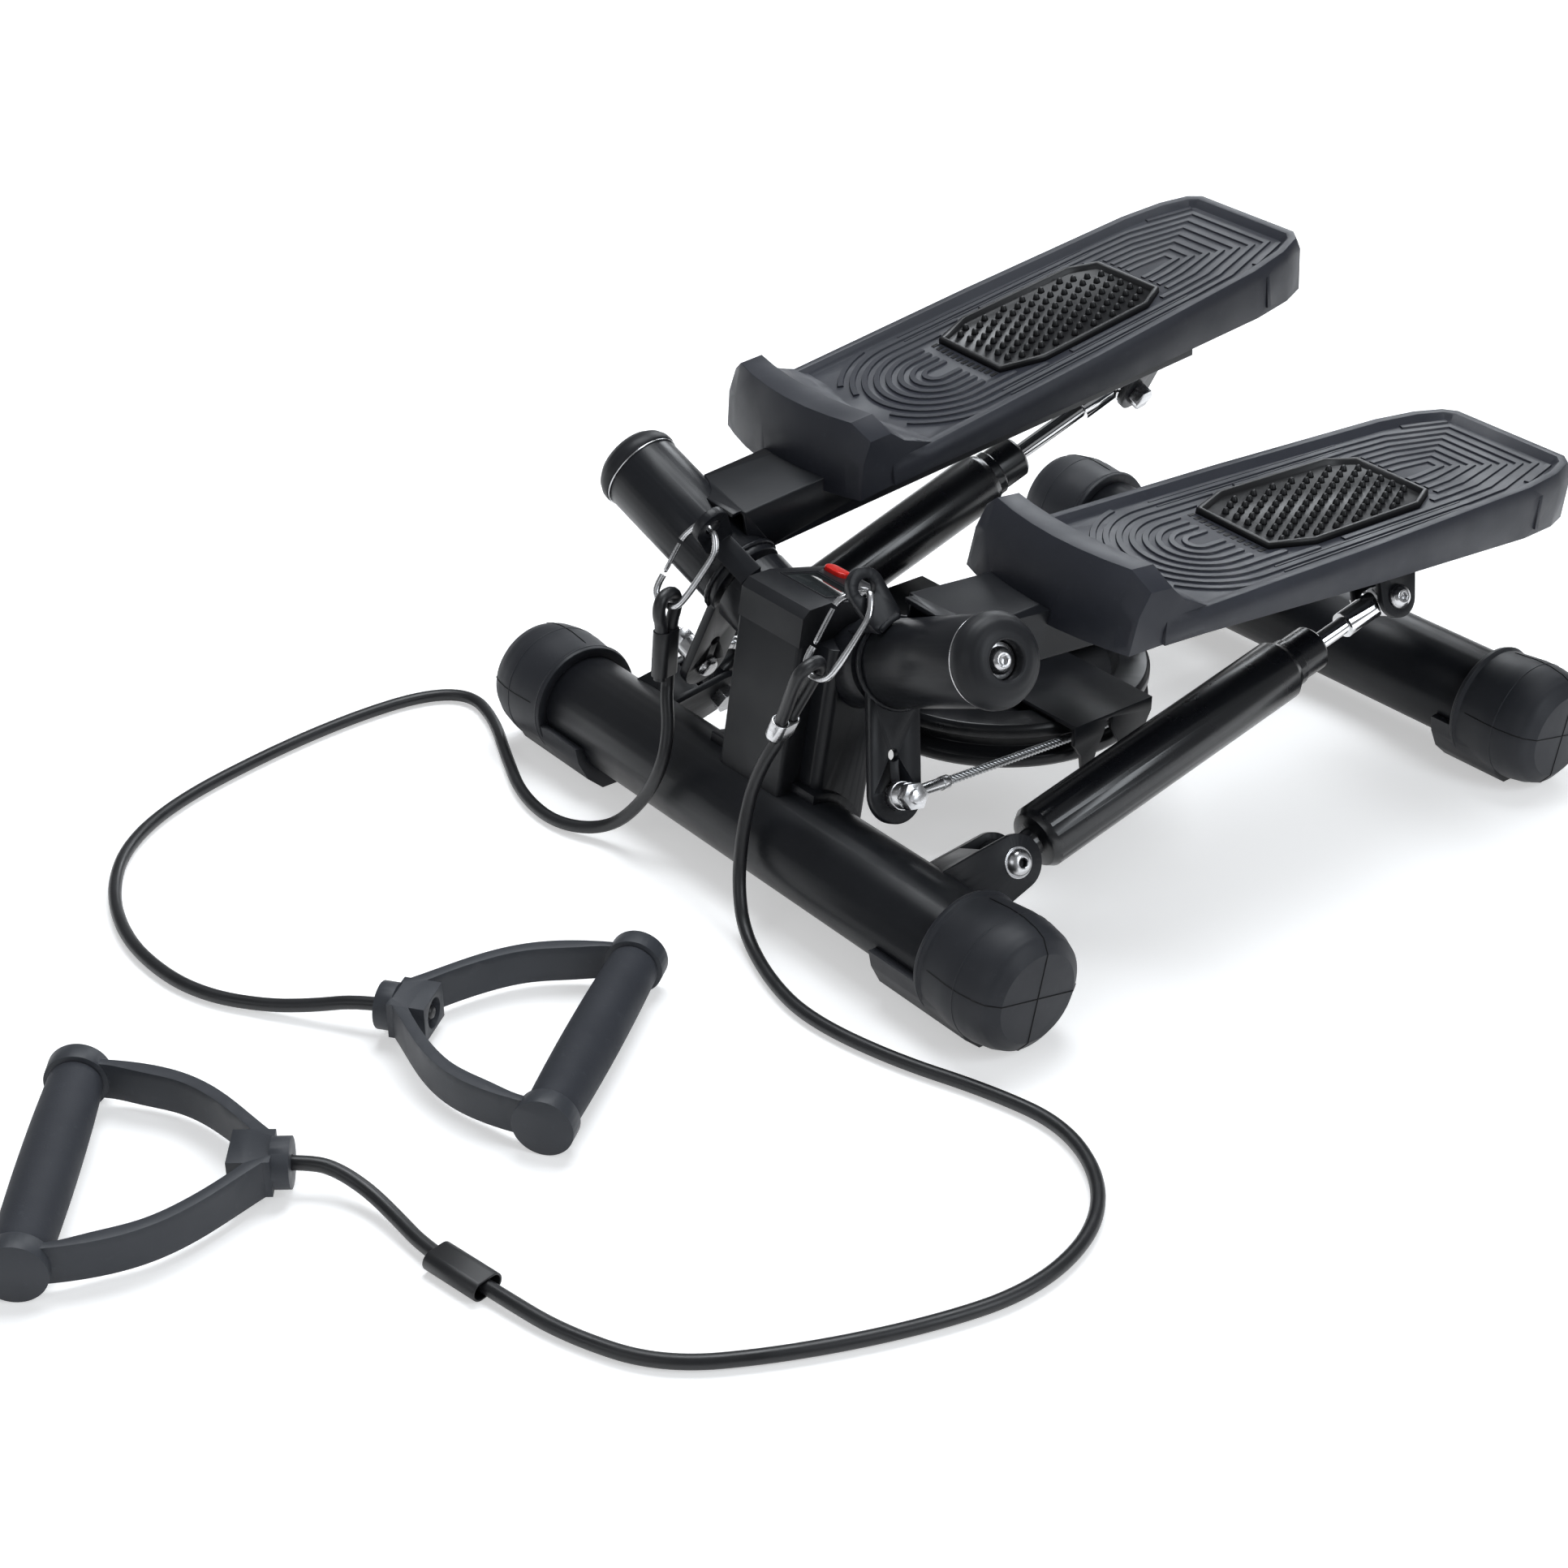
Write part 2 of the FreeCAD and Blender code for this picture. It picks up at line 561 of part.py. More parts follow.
def massage_pad():
    """Rimmed insert with rows of low studs."""
    base = Part.makeLoft([wire(inset(PAD, 0.2), -TRAY - 1.9), wire(inset(PAD, 0.2), -1.2)], True, True)
    dish = Part.makeLoft([wire(inset(PAD, 3.0), -TRAY - 0.2), wire(inset(PAD, 2.4), 0)], True, True)
    body = base.cut(dish)
    return placed(body, PEDAL)


def damper_dirs():
    """Directions of the damper at both stops, left side, and the hinge axis square to them."""
    level = turned_point(DAMPER_TOP, HALF_SWING)
    high = turned_point(DAMPER_TOP, 2 * HALF_SWING)
    a = DAMPER_TOP - DAMPER_LOW
    b = high - DAMPER_LOW
    n = a.cross(b)
    n.normalize()
    return a, b, n, level


def turned_point(p, degrees):
    rot = FreeCAD.Rotation(PIVOT_DIR, degrees)
    return PIVOT_END + rot.multVec(p - PIVOT_END)


def damper_bracket():
    """Channel under the arm's outer side that holds the rod eye; level pose."""
    p = turned_point(DAMPER_TOP, HALF_SWING)
    f = frame(p, PIVOT_DIR, UP)
    plates = [placed(hull2((0, 0), 12.0, (2, 34), 15.0, z0, z0 + 4.0), f) for z0 in (-13.5, 9.5)]
    slab = arm_box(0.0)
    slab.translate(V(0, 0, -4.0))
    web = placed(Part.makeBox(30, 60, 27, V(-15, 0, -13.5)), f).common(slab)
    above = fuse([arm_box(0.0)]).copy()
    block = arm_box(0.0)
    block.translate(V(0, 0, ARM_H - 1.0))
    body = fuse(plates + [web]).cut(above).cut(block)
    body = body.cut(placed(Part.makeCylinder(4.1, 60, V(0, 0, -30)), f))
    return max(body.Solids, key=lambda q: q.Volume)


def bracket_bolt():
    p = turned_point(DAMPER_TOP, HALF_SWING)
    f = frame(p, PIVOT_DIR, UP)
    bolt = Part.makeCylinder(4.0, 34, V(0, 0, -20))
    head = button_head(7.0, 4.6, 13.6)
    nut = hexagon(13.0, -20.6, -13.6)
    return placed(fuse([bolt, head, nut]), f)


# ---- dampers ------------------------------------------------------------
def damper_frame(top):
    a, b, n, _ = damper_dirs()
    d = top - DAMPER_LOW
    return frame(DAMPER_LOW, d, n)            # local Z along the damper, Y along the hinge


def damper_barrel(top):
    """Closed cylinder with rounded ends, gland collar and lower eye."""
    z0 = 21.0
    z1 = z0 + BARREL_LEN
    prof = [(0, z0), (11.0, z0), (BARREL_R - 2.5, z0 + 1.0), (BARREL_R, z0 + 5), (BARREL_R, z1 - 5),
            (BARREL_R - 3.0, z1), (14.2, z1), (14.2, z1 + 5), (13.2, z1 + 6), (13.2, z1 + 22), (11.5, z1 + 24),
            (ROD_R + RUN, z1 + 24), (ROD_R + RUN, z0 + 60), (14.6, z0 + 60), (14.6, z0 + 8), (0, z0 + 8)]
    body = revolve(prof)
    bore = revolve([(0, z0 + 8), (14.6, z0 + 8), (14.6, z1 - 6), (0, z1 - 6)])
    body = body.cut(bore)
    eye = Part.makeCylinder(11.5, 17.0, V(0, -8.5, 0), V(0, 1, 0))
    neck = Part.makeCylinder(8.0, z0 + 1, V(0, 0, 0))
    hole = Part.makeCylinder(4.0 + RUN, 40, V(0, -20, 0), V(0, 1, 0))
    body = fuse([body, eye, neck]).cut(hole)
    return placed(body, damper_frame(top))


def damper_rod(top):
    length = (top - DAMPER_LOW).Length
    z0 = 90.0
    rod = Part.makeCylinder(ROD_R, length - 14 - z0, V(0, 0, z0))
    end = Part.makeCylinder(7.5, 26, V(0, 0, length - 34))
    eye = Part.makeCylinder(11.0, 17.0, V(0, -8.5, length), V(0, 1, 0))
    hole = Part.makeCylinder(4.9, 40, V(0, -20, length), V(0, 1, 0))
    body = fuse([rod, end, eye]).cut(hole)
    return placed(body, damper_frame(top))


def damper_foot():
    """Channel welded to the front tube, with the lower eye's bolt."""
    a, b, n, _ = damper_dirs()
    f = frame(DAMPER_LOW, n, UP)              # local X rearward, Y up, Z outward
    inv = f.inverse()
    c = inv.multVec(V(DAMPER_LOW.x, -BASE_Y + 16.0, AXLE_Z + 2.0))
    shell = hull2((0, 0), 15.0, (c.x, c.y), 19.0, -13.5, 13.5)
    slot = Part.makeBox(90, 60, 18.4, V(-18.5, -32, -9.2))
    slot = slot.cut(Part.makeBox(12, 12, 20, V(-18.5, 20, -10)))
    body = shell.cut(slot)
    body = body.cut(Part.makeCylinder(4.1, 60, V(0, 0, -30)))
    body = placed(body, f).cut(tube_space(-BASE_Y))
    body = body.cut(foot("left", -BASE_Y, FRONT_LIP, FOOT_TONGUE["front"]))
    body = max(body.Solids, key=lambda s: s.Volume)
    bolt = Part.makeCylinder(4.0, 34, V(0, 0, -20))
    bolt = fuse([bolt, button_head(7.0, 4.6, 13.5), hexagon(13.0, -20.5, -13.5)])
    return body.fuse(placed(bolt, f))


# ---- pulley and cable ---------------------------------------------------
def pulley():
    r, z0, z1 = PULLEY_R, PULLEY_Z0, PULLEY_Z1
    g = CABLE_R + 0.4
    prof = [(5.0 + RUN, z0), (20, z0), (24, z0 + 5), (r - 22, z0 + 5), (r - 18, z0), (r - 2, z0), (r, z0 + 2.5),
            (r, z0 + 7.5), (r - 5 - g, CABLE_Z - g), (r - 5 - g, CABLE_Z + g), (r, z1 - 7.5),
            (r, z1 - 2.5), (r - 2, z1), (r - 18, z1), (r - 22, z1 - 5), (24, z1 - 5), (20, z1), (5.0 + RUN, z1)]
    body = revolve(prof)
    body.translate(V(0, PULLEY_Y, 0))
    return body


def cable_guard():
    """Strap under the beam with two tapered fingers down each side of the pulley, and the pulley bolt."""
    y0, y1, z = PULLEY_Y - 31.0, PULLEY_Y + 27.0, 86.0
    parts = [box(-97, 97, y0, y1, 83.4, z)]
    fingers = (((y0, z), (y0 + 24, z), (y0 + 22, 76), (y0 + 17, 66), (y0 + 14, 54), (y0 + 8, 54), (y0 + 6, 66), (y0, 74)),
               ((y1 - 30, z), (y1, z), (y1, 78), (y1 - 5, 68), (y1 - 9, 58), (y1 - 18, 58), (y1 - 24, 66), (y1 - 30, 76)))
    for s in (-1, 1):
        x0 = min(s * 94.0, s * 97.0)
        for outline in fingers:
            parts.append(face([V(x0, a, b) for a, b in outline]).extrude(V(3, 0, 0)))
    bolt = Part.makeCylinder(5.0, 34.5, V(0, PULLEY_Y, 51.5))
    head = hexagon(16.0, 47.0, 52.5, V(0, PULLEY_Y, 0))
    washer = Part.makeCylinder(10.0, 1.6, V(0, PULLEY_Y, 52.6))
    boss = Part.makeCylinder(12.0, 3.4, V(0, PULLEY_Y, 82.6))
    parts += [bolt, head, washer, boss]
    return fuse(parts)


def cable_wrap():
    """Part of the cable that lies in the groove round the back of the pulley."""
    r = PULLEY_R - 5.0
    c = V(0, PULLEY_Y, CABLE_Z)
    arc = Part.Arc(c + X * r, c + Y * r, c - X * r).toShape()
    circle = Part.Wire([Part.makeCircle(CABLE_R, c + X * r, Y)])
    return Part.Wire([arc]).makePipeShell([circle], True, False, 0)


# ---- band sets ----------------------------------------------------------
def lug_point(side):
    """Centre of the lug hole."""
    a = math.radians(LUG_LEAN[side])
    p = PIVOT.multVec(V(-LUG_REACH * math.sin(a), LUG_REACH * math.cos(a), -LUG_AT))
    return p if side == "left" else V(-p.x, p.y, p.z)


# hook: bottom of the carabiner. clamp: centre of the piece that closes the loop, and its half length.
SETS = {
    "left": dict(hook=V(60.0, -223.0, 153.0), clamp=V(42.5, -227.5, 117.5), half=5.5, flat=V(0.37, -1.22, 1.0),
                 band=[V(31.5, -230.5, 94.0), V(25.5, -235.0, 74.0), V(28.0, -243.5, 50.0), V(33.0, -250.0, 24.0),
                       V(50.0, -259.0, 6.0), V(92, -274, 4.0), V(131, -279, 4.0), V(182, -268, 4.0),
                       V(231, -248, 4.0), V(273, -238, 4.0), V(314, -253, 4.0), V(341, -285, 4.0),
                       V(351, -332, 4.0), V(339, -384, 4.0), V(316, -441, 4.0), V(289, -487, 4.0),
                       V(247, -508, 4.0), V(209, -516.8, 5.0), V(163.4, -525.4, 5.0), V(137, -525.2, 6.3),
                       V(117, -527, 9.5), V(100, -533, 13.8), V(89.8, -540.6, 15.6), V(79.6, -554.2, 15.6)]),
    "right": dict(hook=V(-63.5, -225.0, 145.5), clamp=V(-61.0, -227.0, 118.5), half=13.0, flat=V(0.5, -0.9, 0.7),
                  band=[V(-56.0, -230.5, 92.0), V(-49.0, -234.5, 79.0), V(-43.0, -243.0, 62.0),
                        V(-56.0, -247.5, 34.0), V(-78.0, -256.0, 9.0), V(-106.0, -272.0, 4.0), V(-146, -270, 4.0),
                        V(-190, -252, 4.0), V(-232, -233, 4.0), V(-268, -226, 4.0), V(-286, -250, 4.0),
                        V(-288, -300, 4.0), V(-280, -361, 4.0), V(-263, -430, 4.0), V(-236, -475, 4.0),
                        V(-196, -503, 4.0), V(-150, -517, 4.0), V(-107, -516.5, 4.0), V(-76, -507.5, 4.0),
                        V(-50, -489.5, 4.6), V(-30, -474, 8.8), V(-9.5, -456.9, 15.6), V(6.5, -445.0, 15.6)]),
}
WIRE_R = 1.9
LEG = BAND_R + 0.15                    # half the spacing of the loop's two legs


def path_tube(points, r):
    parts = [cyl(r, points[i], points[i + 1]) for i in range(len(points) - 1)]
    parts += [Part.makeSphere(r, q) for q in points[1:-1]]
    return fuse(parts)


HOOK_W = 10.5                          # carabiner half width


def hole_dir(side):
    return PIVOT_DIR if side == "left" else V(-PIVOT_DIR.x, PIVOT_DIR.y, PIVOT_DIR.z)


def hang_point(side):
    """Wire centre where it rests in the lug hole."""
    u = hole_dir(side)
    down = u * u.z - Z
    down.normalize()
    return lug_point(side) + down * (LUG_HOLE_R - WIRE_R - 0.15)


def hook_frame(side):
    """Carabiner frame: Y up its length, Z square to its flat."""
    top, low = hang_point(side), SETS[side]["hook"]
    return frame((top + low) * 0.5, SETS[side]["flat"], top - low), (top - low).Length / 2


def carabiner(side):
    """Spring hook of round wire, pear outline; the gap in one long side takes the gate."""
    f, h = hook_frame(side)
    w = HOOK_W
    low = [(-w * 0.86, -h + 13), (-w * 0.86, -h + 6), (-w * 0.55, -h + 1.0), (0, -h), (w * 0.55, -h + 1.0),
           (w * 0.86, -h + 6), (w, h - 15), (w * 0.95, h - 8)]
    pts = [f.multVec(V(a, b, 0)) for a, b in low]
    top, u = hang_point(side), hole_dir(side)
    across = f.Rotation.multVec(X)
    if across.dot(u) < 0:
        u = u * -1.0
    pts += [top + u * 5.2 + Z * 0.2, top, top - u * 5.2 + Z * 0.2]
    pts += [f.multVec(V(a, b, 0)) for a, b in ((-w * 0.95, h - 8), (-w, h - 13))]
    return path_tube(pts, WIRE_R)


def gate(side):
    f, h = hook_frame(side)
    return cyl(1.6, f.multVec(V(-HOOK_W * 0.99, h - 15.3, 0)), f.multVec(V(-HOOK_W * 0.87, -h + 15.2, 0)))


def gate_pivot(side):
    f, h = hook_frame(side)
    return f.multVec(V(-HOOK_W, h - 14.0, 0)), f.Rotation.multVec(Z)


def clamp_frame(side):
    """Frame of the clamp: Z along the legs towards the hook, X across them."""
    f, _ = hook_frame(side)
    c = SETS[side]["clamp"]
    across = f.Rotation.multVec(X)
    rise = SETS[side]["hook"] - c
    rise = rise - across * rise.dot(across)
    rise.normalize()
    up = SETS[side]["hook"] + rise * (WIRE_R + BAND_R + 2.0) - c
    return frame(c, up, across), up.Length


def loop_points(side):
    """Loop over the carabiner, from the short leg's end to the long leg below the clamp."""
    f, reach = clamp_frame(side)
    half = SETS[side]["half"]
    top = reach
    a = LEG
    pts = [(a, -half - 2.5), (a, half + 2.5), (a + 4.8, top - 10.0), (a + 3.4, top - 2.6), (0, top),
           (-a - 3.4, top - 2.6), (-a - 4.8, top - 10.0), (-a, half + 2.5), (-a, -half - 4.0)]
    return [f.multVec(V(x, 0, z)) for x, z in pts]


def band(side):
    return cord(loop_points(side) + SETS[side]["band"], BAND_R, side + " band")


def clamp(side):
    """Two-lobed sleeve round both legs."""
    f, _ = clamp_frame(side)
    half = SETS[side]["half"]
    body = hull2((-LEG, 0), 5.0, (LEG, 0), 5.0, -half, half)
    for x in (-LEG, LEG):
        body = body.cut(Part.makeCylinder(BAND_R + 0.3, 60, V(x, 0, -30)))
    return placed(body, f)


def floor_sleeve():
    """Flat oval sleeve slid along the left band, lying on the floor."""
    a, b = SETS["left"]["band"][17:19]
    f = frame((a + b) * 0.5, b - a, Z)            # local Z along the band, Y up
    body = hull2((-LEG, 0), 5.0, (LEG, 0), 5.0, -16.5, 16.5)
    bore = hull2((-LEG, 0), BAND_R + 0.3, (LEG, 0), BAND_R + 0.3, -20, 20)
    return placed(body.cut(bore), f)


# ---- handles ------------------------------------------------------------
def handle_frame(boss, grip_centre):
    d = grip_centre - boss
    d.z = 0
    return frame(V(boss.x, boss.y, 0), Z, d)     # local Y boss to grip, X along the grip


HANDLE_LEFT = handle_frame(V(79.0, -555.1, 0), V(18.1, -637.6, 0))
HANDLE_RIGHT = handle_frame(V(7.3, -444.4, 0), V(89.5, -383.0, 0))
GRIP_Y = 102.5
HANDLE_Z = 15.6
CAP_R, CAP_LEN = 15.5, 10.5
STRAP_H, STRAP_T = 20.0, 6.5
BOW_HALF = ((11.0, 1.0), (26.0, 14.0), (44.0, 30.5), (57.5, 48.5), (66.0, 70.0), (70.5, GRIP_Y))


def smooth(points, z):
    """Smooth curve through points given as (x, y) pairs, at height z."""
    curve = Part.BSplineCurve()
    curve.interpolate([V(x, y, z) for x, y in points])
    return curve.toShape()


def side_strap(s):
    """One side of the D: a flat strap from the boss to the end of the grip."""
    inner = [(12.0, 10.5)] + [(x - STRAP_T * 0.94, y + STRAP_T * 0.42) for x, y in BOW_HALF[2:-1]]
    end = GRIP_LEN / 2 + 0.9
    inner += [(end, GRIP_Y - GRIP_R - 1.5), (end, GRIP_Y)]
    z = HANDLE_Z - STRAP_H / 2
    outside = smooth([(s * x, y) for x, y in BOW_HALF], z)
    inside = smooth([(s * x, y) for x, y in inner], z)
    ends = [Part.makeLine(V(s * a[0], a[1], z), V(s * b[0], b[1], z))
            for a, b in ((BOW_HALF[-1], inner[-1]), (inner[0], BOW_HALF[0]))]
    edges = Part.__sortEdges__([outside, inside] + ends)
    return Part.Face(Part.Wire(edges)).extrude(V(0, 0, STRAP_H))


def handle_bow():
    """D-shaped strap with the cord boss at its tip, a pocket for the knot, and end caps over the grip."""
    along = V(0, 1, 0)
    disc = Part.makeCylinder(12.4, 9.0, V(0, -9, HANDLE_Z), along)
    block = box(-12.5, 12.5, -1, 19, HANDLE_Z - STRAP_H / 2, HANDLE_Z + STRAP_H / 2)
    caps = [Part.makeCylinder(CAP_R, CAP_LEN, V(s * (GRIP_LEN / 2 + 0.6), GRIP_Y, HANDLE_Z), V(s, 0, 0))
            for s in (1, -1)]
    body = fuse([side_strap(1), side_strap(-1), disc, block] + caps)
    body = body.cut(Part.makeCylinder(BAND_R + 0.3, 40, V(0, -20, HANDLE_Z), along))
    body = body.cut(Part.makeCylinder(8.0, 20, V(0, 6.0, HANDLE_Z), along))
    knot = Part.makeCylinder(8.0, 2.5, V(0, 5.0, HANDLE_Z), along)
    knot = knot.fuse(Part.makeCylinder(5.5, 11.0, V(0, 5.0, HANDLE_Z), along))
    spindle = Part.makeCylinder(4.0, GRIP_LEN + 4, V(-GRIP_LEN / 2 - 2, GRIP_Y, HANDLE_Z), V(1, 0, 0))
    return fuse([body, knot, spindle])


def handle_grip():
    """Foam sleeve, a little thicker at the middle, that turns on the spindle."""
    h, bore, end = GRIP_LEN / 2, 4.0 + RUN, GRIP_R - 1.2
    back = Part.Arc(V(-h, end, 0), V(0, GRIP_R, 0), V(h, end, 0)).toShape()
    sides = [Part.makeLine(V(h, end, 0), V(h, bore, 0)), Part.makeLine(V(h, bore, 0), V(-h, bore, 0)),
             Part.makeLine(V(-h, bore, 0), V(-h, end, 0))]
    body = Part.Face(Part.Wire([back] + sides)).revolve(O, X, 360)
    body.translate(V(0, GRIP_Y, HANDLE_Z))
    return body


# ---- write --------------------------------------------------------------
def write(name, shape):
    if shape.isNull() or not shape.isValid():
        print("check", name)
    shape.exportStep("parts/%s.step" % name)
    b = shape.BoundBox
    print("%-26s %2d solids %9.1f mm3  x %.1f..%.1f y %.1f..%.1f z %.1f..%.1f" % (
        name, len(shape.Solids), shape.Volume, b.XMin, b.XMax, b.YMin, b.YMax, b.ZMin, b.ZMax))


def main():
    os.makedirs("parts", exist_ok=True)
    write("base_front_tube", base_tube(-BASE_Y, FRONT_LIP + 38))
    write("base_rear_tube", base_tube(BASE_Y, REAR_LIP + 38))
    write("main_beam", main_beam())
    write("post", post())
    write("post_cover", post_cover())
    write("console_head", console_head())
    write("display_window", display_window())
    write("console_button", console_button())
    for side in ("left", "right"):
        write("foot_front_" + side, foot(side, -BASE_Y, FRONT_LIP, FOOT_TONGUE["front"]))
        write("foot_rear_" + side, foot(side, BASE_Y, REAR_LIP, FOOT_TONGUE["rear"]))
        write(side + "_hub", hub(side))
        write(side + "_axle", axle(side))
    write("pulley", pulley())
    write("cable_guard", cable_guard())
    write("cable_wrap", cable_wrap())
    write("left_cable_strand", cable_strand(-HALF_SWING))
    write("right_cable_strand", mirrored(cable_strand(HALF_SWING)))
    write("left_cable_end", cable_end(-HALF_SWING))
    write("right_cable_end", mirrored(cable_end(HALF_SWING)))
    foot_bracket = damper_foot()
    write("left_damper_foot", foot_bracket)
    write("right_damper_foot", mirrored(foot_bracket))
    group = (("pivot_sleeve", sleeve), ("arm", arm), ("lever", lever), ("end_cap", end_cap), ("pedal", pedal),
             ("massage_pad", massage_pad), ("damper_bracket", damper_bracket), ("bracket_bolt", bracket_bolt))
    for name, make in group:
        level = make()
        write("left_" + name, posed_left(level))
        write("right_" + name, posed_right(level))
    high = turned_point(DAMPER_TOP, 2 * HALF_SWING)
    write("left_damper_barrel", damper_barrel(DAMPER_TOP))
    write("left_damper_rod", damper_rod(DAMPER_TOP))
    write("right_damper_barrel", mirrored(damper_barrel(high)))
    write("right_damper_rod", mirrored(damper_rod(high)))
    write("left_band_sleeve", floor_sleeve())
    for side, hand in (("left", HANDLE_LEFT), ("right", HANDLE_RIGHT)):
        write(side + "_carabiner", carabiner(side))
        write(side + "_carabiner_gate", gate(side))
        write(side + "_band", band(side))
        write(side + "_band_clamp", clamp(side))
        write(side + "_handle_bow", placed(handle_bow(), hand))
        write(side + "_handle_grip", placed(handle_grip(), hand))
    a, b, n, _ = damper_dirs()
    print("damper hinge axis", n, "turn", math.degrees(a.getAngle(b)), "stroke", b.Length - a.Length)
    for side in ("left", "right"):
        print(side, "lug", lug_point(side), "gate", gate_pivot(side))
    print("left lever hook", cable_start(-HALF_SWING), "right", cable_start(HALF_SWING))


main()
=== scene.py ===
import json
import math
import bpy
import bmesh
from mathutils import Matrix, Vector


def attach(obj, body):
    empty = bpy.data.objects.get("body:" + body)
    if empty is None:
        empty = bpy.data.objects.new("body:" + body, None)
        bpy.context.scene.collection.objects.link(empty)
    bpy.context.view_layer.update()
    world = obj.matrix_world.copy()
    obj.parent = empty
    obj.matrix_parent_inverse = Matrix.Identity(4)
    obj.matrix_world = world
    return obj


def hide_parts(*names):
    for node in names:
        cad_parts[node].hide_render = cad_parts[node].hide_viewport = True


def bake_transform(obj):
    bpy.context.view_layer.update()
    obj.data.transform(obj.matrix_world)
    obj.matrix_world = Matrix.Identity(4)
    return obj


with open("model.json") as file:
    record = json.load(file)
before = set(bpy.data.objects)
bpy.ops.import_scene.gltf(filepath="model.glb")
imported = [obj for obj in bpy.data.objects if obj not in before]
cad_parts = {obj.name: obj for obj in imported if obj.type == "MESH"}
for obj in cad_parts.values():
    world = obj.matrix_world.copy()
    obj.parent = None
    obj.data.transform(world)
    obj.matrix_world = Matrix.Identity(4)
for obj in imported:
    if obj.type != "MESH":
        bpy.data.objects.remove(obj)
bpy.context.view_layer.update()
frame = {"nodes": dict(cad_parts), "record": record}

MM = 0.001
scene = bpy.context.scene
nodes = frame["nodes"]
V = Vector


# ---- shared frames and sizes, as in the part's source ------------------------
PIVOT_END = V((146.1, -179.7, 182.6))
PIVOT_DIR = V((0.9005, -0.1048, 0.4222)).normalized()
HALF_SWING = math.radians(6.13)
PEDAL_SLOPE = math.radians(5.216)
PEDAL_ORIGIN = V((102.5, -60.5, 197.0))
TRAY = 4.0


def frame_matrix(origin, zdir, ydir):
    """Matrix whose local Z is zdir and local Y as near ydir as it can be, in mm."""
    z = zdir.normalized()
    y = (ydir - z * ydir.dot(z)).normalized()
    x = y.cross(z)
    m = Matrix((x, y, z)).transposed().to_4x4()
    m.translation = origin
    return m


def swing(angle):
    """Turn about the left pivot, in mm."""
    t = Matrix.Translation(PIVOT_END)
    return t @ Matrix.Rotation(angle, 4, PIVOT_DIR) @ t.inverted()


MIRROR = Matrix.Diagonal((-1, 1, 1, 1))
PIVOT = frame_matrix(PIVOT_END, PIVOT_DIR, V((0, 0, 1)))
PIVOT_AT = {"left": swing(-HALF_SWING) @ PIVOT, "right": MIRROR @ swing(HALF_SWING) @ PIVOT}
PEDAL = frame_matrix(PEDAL_ORIGIN, V((0, -math.sin(PEDAL_SLOPE), math.cos(PEDAL_SLOPE))), V((0, 1, 0)))
PEDAL_AT = {"left": swing(-HALF_SWING) @ PEDAL, "right": MIRROR @ swing(HALF_SWING) @ PEDAL}


# ---- camera, light and floor ------------------------------------------------
def look(obj, target, roll=0.0):
    d = V(target) - obj.location
    obj.rotation_euler = (d.to_track_quat("-Z", "Y").to_matrix() @ Matrix.Rotation(roll, 3, "Z")).to_euler()


EYE, TARGET, ROLL = V((994.40, -978.30, 788.25)), V((31.275, -217.702, 74.279)), 0.0014
SENSOR, LENS = 36.0, 61.656

cam_data = bpy.data.cameras.new("camera")
cam_data.sensor_width = SENSOR
cam_data.lens = LENS
cam_data.clip_start = 0.05
camera = bpy.data.objects.new("camera", cam_data)
scene.collection.objects.link(camera)
camera.location = EYE * MM
look(camera, TARGET * MM, ROLL)
scene.camera = camera

scene.view_settings.view_transform = "Standard"


def area(name, place, target, size, watts, tint=(1, 1, 1)):
    data = bpy.data.lights.new(name, "AREA")
    data.shape = "RECTANGLE"
    data.size, data.size_y = size
    data.energy = watts
    data.color = tint
    o = bpy.data.objects.new(name, data)
    scene.collection.objects.link(o)
    o.location = place
    look(o, target)


# name, place, target, size, watts, tint
area("key", (-0.5, 0.3, 2.3), (0.0, -0.1, 0.1), (1.5, 1.1), 43, (0.93, 0.965, 1.0))
area("side", (2.1, 0.3, 1.5), (0.05, -0.1, 0.1), (0.7, 1.5), 20, (0.90, 0.95, 1.0))
area("front", (0.5, -2.2, 1.1), (0.0, -0.2, 0.1), (1.4, 0.8), 5, (0.93, 0.965, 1.0))
area("rim", (-1.2, 1.7, 1.2), (0.0, 0.0, 0.15), (1.2, 0.6), 16, (0.92, 0.96, 1.0))


